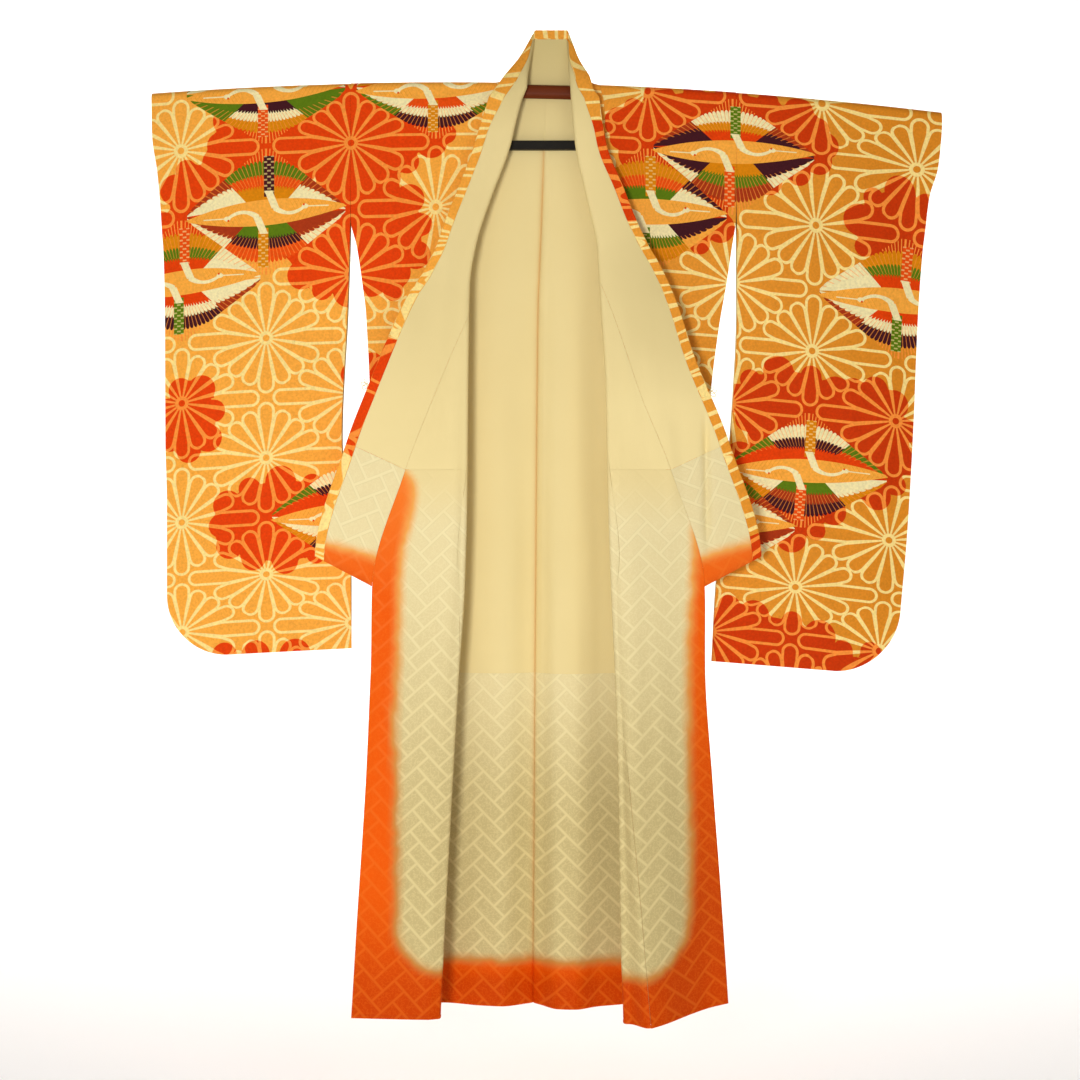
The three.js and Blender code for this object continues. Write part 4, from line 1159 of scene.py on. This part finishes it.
def brickJoint(u, v):
    # Distance to the nearest joint of oblong bricks laid herringbone at 45 degrees, in widths of
    # a brick. Each square of the grid is half a brick, and its kind says which side has no joint.
    root = math.sqrt(0.5) / (brick["width"] * millimetre)
    a, b = (u + v) * root, (v - u) * root
    i, j = calculate("FLOOR", a), calculate("FLOOR", b)
    x, y = a - i, b - j
    kind = calculate("FLOORED_MODULO", i - j, 4)
    toLeft, toRight = x + (abs(kind - 1) < 0.5) * brick["outside"], 1 - x + (kind < 0.5) * brick["outside"]
    toFoot, toTop = y + (abs(kind - 2) < 0.5) * brick["outside"], 1 - y + (kind > 2.5) * brick["outside"]
    return least(toLeft, toRight, toFoot, toTop)


def figuredLining():
    # The bricks' joints and fine tendrils stand out from the ground, under the orange dye, which
    # turns amber where it ends. dye, deep and depth are kept at the points.
    material, tree, shader = newMaterial("figuredLining")
    joint = brickJoint(*uvPair(tree, "cloth"))
    width = brick["line"] / 2 / brick["width"]
    lines = below(joint, width, brick["soft"] / brick["width"])
    tendrils = below(abs(noise(tree, 170, 2) - 0.5), 0.035, 0.05) * (1 - lines) * 0.55
    worked = most(lines, tendrils)

    depth = pointValue(tree, "depth")
    plain = blendColour(tree, depth, *tones["plain"])
    cloth = blendColour(tree, worked, plain, blendColour(tree, depth, *tones["raised"]))
    rim = below(abs(joint - width * 1.2), 0.012, 0.04) * ramp(depth, -1.4, 0.9)
    cloth = blendColour(tree, rim * 0.5, cloth, tones["rim"])
    cloth = blendColour(tree, ramp(depth, 1, 1), tones["figuredTop"], cloth)
    cloth = blendColour(tree, pointValue(tree, "seam") * seamTintShare, cloth, tones["seamTint"])

    orange = blendColour(tree, pointValue(tree, "deep"), *tones["orange"])
    orange = blendColour(tree, worked * 0.3, orange, tones["orangeRaised"])
    orange = blendColour(tree, ramp(objectPlace(tree)[1], 4.5, 3.9), orange, tones["orangeTop"])
    dyed = pointValue(tree, "dye")
    amount = dyed + (noise(tree, 26, 2) - 0.5) * dyed * (1 - dyed) * 3
    cloth = blendColour(tree, ramp(amount, 2, 0), cloth, blendColour(tree, depth, *tones["amber"]))
    cloth = blendColour(tree, ramp(amount, 2, -1), cloth, orange)
    # Painted shade towards the front edges, as on the cream lining
    tree.links.new(paintedShadeOnLeaves(tree, cloth, -1.6, 0.085), shader.inputs["Base Color"])
    tree.links.new((0.56 - 0.14 * lines).socket, shader.inputs["Roughness"])
    bump(tree, shader, noise(tree, 1100, 1, silkThread) + 0.8 * lines, 0.0003, 0.5)
    return material


def varnishedWood():
    # Red-brown grain along the bar
    material, tree, shader = newMaterial("varnishedWood")
    grain = noise(tree, 60, 4, (0.12, 1, 1))
    brown = blendColour(tree, grain, colour(90, 34, 10), colour(118, 52, 18))
    tree.links.new(brown, shader.inputs["Base Color"])
    bump(tree, shader, grain, 0.0004, 0.4)
    return material


def satinBlack():
    # Black paint that is worn in small patches
    material, tree, shader = newMaterial("satinBlack")
    worn = noise(tree, 90, 3)
    paint = blendColour(tree, worn, colour(18, 15, 10), colour(32, 28, 20))
    tree.links.new(paint, shader.inputs["Base Color"])
    bump(tree, shader, worn, 0.0002, 0.3)
    return material


silk, cream, figured = outerSilk(), creamLining(), figuredLining()
wood, black = varnishedWood(), satinBlack()
print("materials made")

# The outer silk and its lining lie on the two sides of the same grid of points
shellFaces = (-robe["liningGap"] / 2 - robe["shell"], -robe["liningGap"] / 2)
liningFaces = (robe["liningGap"] / 2, robe["liningGap"] / 2 + robe["lining"])


def place(piece, slot, *nodes):
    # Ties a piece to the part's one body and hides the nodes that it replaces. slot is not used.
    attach(piece, "root")
    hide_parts(*nodes)


def makeCloth(cut, side, grid, keep, faces, materials, maps=(), values=()):
    # One cut of cloth: the kept part of a grid's points, normals, maps and values, as a wall
    points, normal = grid
    maps = [(label, first[keep], second[keep]) for label, first, second in maps]
    values = [(label, value[keep]) for label, value in values]
    piece = wall(cut["name"] + side, points[keep], normal[keep], *faces, materials, maps, values)
    place(piece, cut["slot"], cut["node"] + side)


def makeTrim(piece):
    # A small piece that only this scene has rides on the body with the upper lining
    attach(piece, "root")


# The padded hem: the middle of its roll, half its thickness, how far inside the roll it starts, and
# how flat it may get
hemPad = dict(middle=-0.1, thick=1.7, inside=0.2, least=0.12)


def hemFaces(z, edge=None):
    # The lining's two faces, thickened and rounded into a roll where it wraps the hem and edge
    depth = z - hemEnd
    if edge is not None:
        depth = np.minimum(depth, edge)
    half = robe["hemRoll"] / 2
    inRoll = depth < robe["hemRoll"] - hemPad["inside"]
    bulge = np.sqrt(np.clip(1 - (np.clip(half - depth, 0, half) / half) ** 2, hemPad["least"], 1))
    lower = np.where(inRoll, hemPad["middle"] - hemPad["thick"] * bulge, liningFaces[0])
    upper = np.where(inRoll, hemPad["middle"] + hemPad["thick"] * bulge, liningFaces[1])
    return lower, upper


# The orange border on the lower lining: its width along the hem, how round its inner corners are,
# and how soft its edge is. backDeep, deep: the height above the hem where it is half as deep, and
# over what height it deepens, on the back and on each front.
dye = dict(hemBand=78, rounding=80, soft=32, backDeep=(60, 60))
# Its width along the front edge, down the robe
leftBorder = dict(deep=(120, 240), columns=("z", "width"), rows=(
    (-640, -26), (-656, -4), (-680, 18), (-705, 29), (-760, 38), (-807, 43), (-897, 45),
    (-1045, 43), (-1200, 52), (-1351, 63), (-1567, 72),
))
rightBorder = dict(deep=(420, 560), columns=("z", "width"), rows=(
    (-700, -40), (-751, -6), (-806, 12), (-848, 20), (-905, 25), (-990, 28), (-1163, 38),
    (-1307, 47), (-1393, 56), (-1567, 72),
))


# The figured lining's tone down the robe. atSplit: the length below the fronts' split over which
# it leaves the tone of the top. front, back: the height from which it darkens, over what length.
darkening = dict(atSplit=110, front=(-700, 600), back=(-940, 330))


def deepening(z, height, over):
    # 1 at the hem, 0 above, half way at the height above the hem
    return ease(0.5 - (z - hemEnd - height) / over)


def borderValues(front, outs, z):
    # The dye of the fronts: a strip along the edge and one along the hem, whose inner corner is
    # rounded, and how deep it is; and how far the figure has darkened down the robe
    edge = collarSeam(front, z) - fromRoll(front, z, outs)
    border = leftBorder if front["sign"] < 0 else rightBorder
    fromEdge = edge - read(border, "width", z)
    fromHem = z - hemEnd - dye["hemBand"]
    rounding = dye["rounding"]
    inside = rounding - np.hypot(np.maximum(rounding - fromEdge, 0), np.maximum(rounding - fromHem, 0))
    share, deep = ease(0.5 - inside / dye["soft"]), deepening(z, *border["deep"])
    atSplit = fall(z, robe["frontSplit"], darkening["atSplit"])
    depth = atSplit - 1 + fall(z, *darkening["front"])
    return [("dye", share), ("deep", deep), ("depth", depth)]


# Each piece of cloth: its name, the node that it replaces, its slot, and its cut in metres
bodyCuts = dict(
    shell=dict(name="silk_body", node="body", slot="outer_silk", flat=(0.36, 3.2)),
    upper=dict(name="lining_upper", node="lining", slot="upper_lining", flat=(0.36, 1.72)),
    back=dict(name="lining_hem_back", node="lower_lining_back", slot="lower_lining", flat=(0.36, 0.6)),
    front=dict(name="lining_hem_front", node="lower_lining_front", slot="lower_lining", flat=(0.36, 0.95)),
)
# The back seam: how far its brownish tint reaches to the left and to the right, and its allowance behind
seamTintReach = dict(left=3, right=1.2)
allowance = dict(columns=4, half=0.2)


def makeBody(side, front, neck):
    # Half of the body: its silk, and its linings above and below the split on back and front
    points, outs, downs = bodyGrid(front, neck)
    normal = inwards(points, 10)
    grid = (points, normal)
    maps, values = silkMaps(front["sign"], outs, downs)
    inHems = slice(len(hemRows), len(points) - len(hemRows))
    makeCloth(bodyCuts["shell"], side, grid, inHems, shellFaces, [silk, cream], maps, values)

    x, z = points[..., 0], points[..., 2]
    backSplit = int(np.argmin(np.abs(backHeights - robe["backSplit"])))
    frontStart = len(points) - len(frontHeights)
    frontSplit = frontStart + int(np.argmin(np.abs(frontHeights - robe["frontSplit"])))
    back, upper = slice(0, backSplit), slice(backSplit, frontSplit + 1)
    lower = slice(frontSplit + 1, len(points))
    off = read(backRows, "seam", z) - x
    onBack = np.arange(len(points))[:, None] < len(backHeights)
    seamTint = onBack * np.where(off > 0, np.exp(-off / seamTintReach["left"]), np.exp(off / seamTintReach["right"]))
    seamTint = [("seam", seamTint)]
    makeCloth(bodyCuts["upper"], side, grid, upper, liningFaces, [cream], values=seamTint)

    share = ease(0.5 - (z - hemEnd - dye["hemBand"]) / dye["soft"])
    deep, depth = deepening(z, *dye["backDeep"]), fall(z, *darkening["back"])
    values = [("dye", share), ("deep", deep), ("depth", depth)]
    onCloth = [("cloth", x * millimetre, z * millimetre)]
    makeCloth(bodyCuts["back"], side, grid, back, hemFaces(z[back]), [figured], onCloth, values + seamTint)
    onCloth = [("cloth", -front["sign"] * outs * millimetre, z * millimetre)]
    makeCloth(bodyCuts["front"], side, grid, lower, hemFaces(z[lower]), [figured],
              onCloth, borderValues(front, outs, z))
    strip = (slice(len(hemRows), len(backHeights) + len(joinRows) + 1), slice(-allowance["columns"], None))
    return points[strip], normal[strip]


okumiCuts = dict(
    shell=dict(name="silk_okumi", node="okumi", slot="outer_silk", flat=(0.16, 1.36)),
    upper=dict(name="lining_okumi", node="okumi_lining", slot="upper_lining", flat=(0.1, 0.44)),
    lower=dict(name="lining_hem_okumi", node="okumi_lower_lining", slot="lower_lining", flat=(0.16, 0.93)),
)


def makeOkumi(side, front):
    # An overlap panel: its silk up to the roll, and its upper and lower lining
    points, outs, downs = okumiGrid(front)
    grid = (points, inwards(points, len(points) - 8))
    maps, values = silkMaps(front["sign"], outs, downs)
    inEdges = (slice(0, len(points) - len(hemRows)), slice(0, columns["okumi"] + 1))
    makeCloth(okumiCuts["shell"], side, grid, inEdges, shellFaces, [silk, cream], maps, values)
    z = frontHeights[frontHeights < robe["okumiTop"]][:, None] + 0 * outs
    upperRows = int(np.argmin(np.abs(z[:, 0] - robe["frontSplit"]))) + 1
    makeCloth(okumiCuts["upper"], side, grid, slice(0, upperRows), liningFaces, [cream])
    lower = slice(upperRows, len(points))
    toEdge = collarSeam(front, z) - fromRoll(front, z, outs)
    toEdge = np.where(z < robe["collarFoot"], toEdge, robe["collarWidth"])
    onCloth = [("cloth", -front["sign"] * outs * millimetre, z * millimetre)]
    makeCloth(okumiCuts["lower"], side, grid, lower, hemFaces(z[lower], toEdge[lower]), [figured],
              onCloth, borderValues(front, outs, z))


strips = []
for side, front, neck in (("_left", leftFront, leftNeck), ("_right", rightFront, rightNeck)):
    strips.append(makeBody(side, front, neck))
    makeOkumi(side, front)
strip, stripNormal = [np.concatenate([left, right[:, ::-1]], 1) for left, right in zip(*strips)]
makeTrim(wall("seam_allowance_back", strip, stripNormal, -allowance["half"], allowance["half"], [cream]))
print("body and overlap panels made")

collarCuts = dict(
    shell=dict(name="silk_collar", node="collar", slot="outer_silk", flat=(0.15, 2.0)),
    upper=dict(name="lining_collar", node="collar_lining", slot="upper_lining", flat=(0.11, 1.7)),
    end=dict(name="lining_collar_end", node="collar_end", slot="lower_lining", flat=(0.11, 0.22)),
)
# edge: how full its free edge is at the last three columns. The figure starts part of a column in
# and slants a little. dyed: how far from the foot the ends are orange, less so at the free edge,
# and deep: where the orange is no deeper, and over what length it deepens.
collar = dict(edge=(1, 0.8, 0.4), overLining=0.1, column=0.2, slant=0.0004, row=61,
              dyed=48, lessDyed=20, deep=(16, 30))


def makeCollar():
    # The silk wraps the lining's free edge, so its last columns are as thick as both layers
    points = collarGrid()
    grid = (points, inwards(points, 0))
    count, width = points.shape[:2]
    steps = np.linalg.norm(np.diff(points[:, 0], axis=0), axis=-1)
    along = np.concatenate([[0], np.cumsum(steps)])[:, None] + np.zeros(width)
    across = np.linspace(0, robe["collarWidth"], width)[None, :] + 0 * along
    fullness = np.ones(width)
    fullness[-len(collar["edge"]):] = collar["edge"]
    middle = (shellFaces[0] + liningFaces[1]) / 2
    lower = mix(middle, shellFaces[0], fullness) + 0 * along
    turned = mix(middle, liningFaces[1] + collar["overLining"], fullness)
    upper = np.where(np.arange(width) > columns["collar"], turned, shellFaces[1]) + 0 * along
    column = across / figure["across"] + collar["column"] + along * collar["slant"]
    maps = [("figure", column, along / figure["half"] + collar["row"])]
    values = [("cloud", cloudDistance(collarClouds, across, along) * millimetre)]
    makeCloth(collarCuts["shell"], "", grid, slice(None), (lower, upper), [silk], maps, values)

    heightsUp = frontHeights[frontHeights >= robe["collarFoot"]]
    endRows = int((heightsUp <= robe["frontSplit"]).sum())
    fromFoot = np.minimum(along, along[-1] - along)
    band = collar["dyed"] - collar["lessDyed"] * across / robe["collarWidth"]
    share = ease(0.5 - (fromFoot - band) / dye["soft"])
    deepFrom, deepOver = collar["deep"]
    deep = ease((deepFrom - fromFoot) / deepOver)
    values = [("dye", share), ("deep", deep), ("depth", 0 * share)]
    onCloth = [("cloth", across * millimetre, along * millimetre)]
    parts = (
        ("end", "_left", slice(0, endRows - 1), figured),
        ("upper", "", slice(endRows - 1, count - endRows + 1), cream),
        ("end", "_right", slice(count - endRows + 1, count), figured),
    )
    for part, side, rows, material in parts:
        keep = (rows, slice(0, columns["collar"] + 1))
        makeCloth(collarCuts[part], side, grid, keep, liningFaces, [material], onCloth, values)
    return points


collarPoints = makeCollar()
print("collar made")

# Thread ties at the collar's edges, and their heights on the left and on the right. Each loop is
# how far it reaches out, its half width and its drop.
tie = dict(radius=0.75, gap=0.12, bulge=1.2, steps=25, sides=8, forward=0.6,
           left=-514, right=-527, loops=((10, 3.6, -2.5), (12, 2.6, 1.5), (7, 3, 4.5)))


def thread(start, side, outReach, halfWidth, drop):
    # A loop of thread out from the cloth's edge and back: an ellipse with a round section
    turn = np.linspace(tie["gap"], 2 * math.pi - tie["gap"], tie["steps"])[:, None]
    middle = start + np.array([side * outReach / 2, 0, drop])
    spoke = np.array([-side * outReach / 2, 0, -drop]) * np.cos(turn)
    spoke = spoke + np.array([0, -tie["bulge"], halfWidth]) * np.sin(turn)
    around = np.linspace(0, 2 * math.pi, tie["sides"] + 1)[None, :-1, None]
    outwards = spoke / np.linalg.norm(spoke, axis=1, keepdims=True)
    section = outwards[:, None] * np.cos(around) + np.array([0, 1, 0]) * np.sin(around)
    return (middle + spoke)[:, None] + tie["radius"] * section


half = len(collarPoints) // 2
for name, side, edge in (("left", -1, collarPoints[:half, -1]), ("right", 1, collarPoints[half:, -1])):
    start = edge[np.argmin(np.abs(edge[:, 2] - tie[name]))] + np.array([0, -tie["forward"], 0])
    for number, loop in enumerate(tie["loops"]):
        makeTrim(tube(f"thread_tie_{name}_{number}", thread(start, side, *loop), cream))
print("thread ties made")

sleeveCut = dict(name="silk_sleeve", node="sleeve", slot="outer_silk", flat=(0.36, 2.0))


def makeSleeve(side, sleeve, table):
    # The whole sleeve is one wall, silk outside and cream inside
    points, outs, downs = sleeveGrid(sleeve, table)
    level = -np.abs(downs)
    outer, inner = read(sleeve, "outer", level), read(sleeve, "inner", level)
    share = (outs - inner) / np.maximum(outer - inner, 1)
    maps, values = silkMaps(sleeve["sign"], outs, downs, share)
    grid, half = (points, inwards(points, 5)), sleeveBag["thickness"] / 2
    makeCloth(sleeveCut, side, grid, slice(None), (-half, half), [silk, cream], maps, values)


makeSleeve("_left", leftSleeve, leftSleeveCreases)
makeSleeve("_right", rightSleeve, rightSleeveCreases)
print("sleeves made")


def barRings():
    # A stadium section carried along the bow of the bar, drawn in at the two ends
    u = np.linspace(0, 1, columns["bar"] + 1)
    fromEnd = np.clip(np.minimum(u, 1 - u) * bar["length"] / 4, 0, 1)
    inset = np.sqrt(np.clip(1 - (1 - fromEnd) ** 2, 0.3, 1))[:, None]
    x = ((u - 0.5) * bar["length"])[:, None]
    turn = np.linspace(0, 2 * math.pi, 41)[:-1]
    radius, middle = bar["depth"] / 2, bar["height"] / 2
    y = radius * np.cos(turn)
    z = radius * np.sin(turn) + (middle - radius) * np.sign(np.sin(turn))
    return np.stack([x + 0 * y, y * inset, z * inset - middle + barTop(x)], -1)


place(tube("wood_bar", barRings(), wood), "bar_wood", "bar")
for node in ("lower_bar", "link_left", "link_right"):
    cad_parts[node].data.materials.clear()
    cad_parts[node].data.materials.append(black)
print("bars made")

# In metres: a pale floor that curves up into a pale wall behind the robe
studio = dict(
    floor=-1.76, halfWidth=8, front=-7, wall=6.4, curve=1.4, top=7, grey=(0.93, 0.93, 0.93, 1),
    sky=(1, 0.9, 0.78, 1), skyStrength=0.27,
)
lamps = (   # where each stands, what it is aimed at, its size and its power
    ((-0.52, -2.9, -0.85), (-0.03, 0, -0.85), 0.5, 47),
    ((1.6, -3.2, 0.4), (0.1, 0, -0.7), 1.6, 10),
    ((0, 3.0, 2.8), (0, 5.6, -1.4), 3.5, 330),
)


def makeStudio():
    # The floor, a quarter turn and the wall, as one strip between its two sides
    turn = np.linspace(0, math.pi / 2, 17)
    curveY = studio["wall"] - studio["curve"] + studio["curve"] * np.sin(turn)
    curveZ = studio["floor"] + studio["curve"] * (1 - np.cos(turn))
    y = np.concatenate([[studio["front"]], curveY, [studio["wall"]]])
    z = np.concatenate([[studio["floor"]], curveZ, [studio["top"]]])
    sides = [np.column_stack([np.full(len(y), side * studio["halfWidth"]), y, z]) for side in (-1, 1)]
    last = len(y)
    faces = [(i, i + last, i + last + 1, i + 1) for i in range(last - 1)]
    material, _, shader = newMaterial("paleFloor")
    shader.inputs["Base Color"].default_value = studio["grey"]
    newPiece("floor", np.concatenate(sides).tolist(), faces, 50, [material])


def makeLamp(number, stand, aim, size, power):
    # A round lamp, turned from straight down to its aim
    lamp = bpy.data.lights.new(f"lamp_{number}", "AREA")
    lamp.shape = "DISK"
    lamp.size = size
    lamp.energy = power
    holder = bpy.data.objects.new(f"lamp_{number}", lamp)
    bpy.context.scene.collection.objects.link(holder)
    holder.location = stand
    holder.visible_camera = False
    x, y, z = np.subtract(aim, stand)
    holder.rotation_euler = (math.atan2(math.hypot(x, y), -z), 0, math.atan2(y, x) - math.pi / 2)


makeStudio()
for number, lamp in enumerate(lamps):
    makeLamp(number, *lamp)
world = bpy.data.worlds.new("studio")
bpy.context.scene.world = world
world.use_nodes = True
world.node_tree.nodes["Background"].inputs["Color"].default_value = studio["sky"]
world.node_tree.nodes["Background"].inputs["Strength"].default_value = studio["skyStrength"]
bpy.context.scene.view_settings.view_transform = "Standard"
print("studio made")
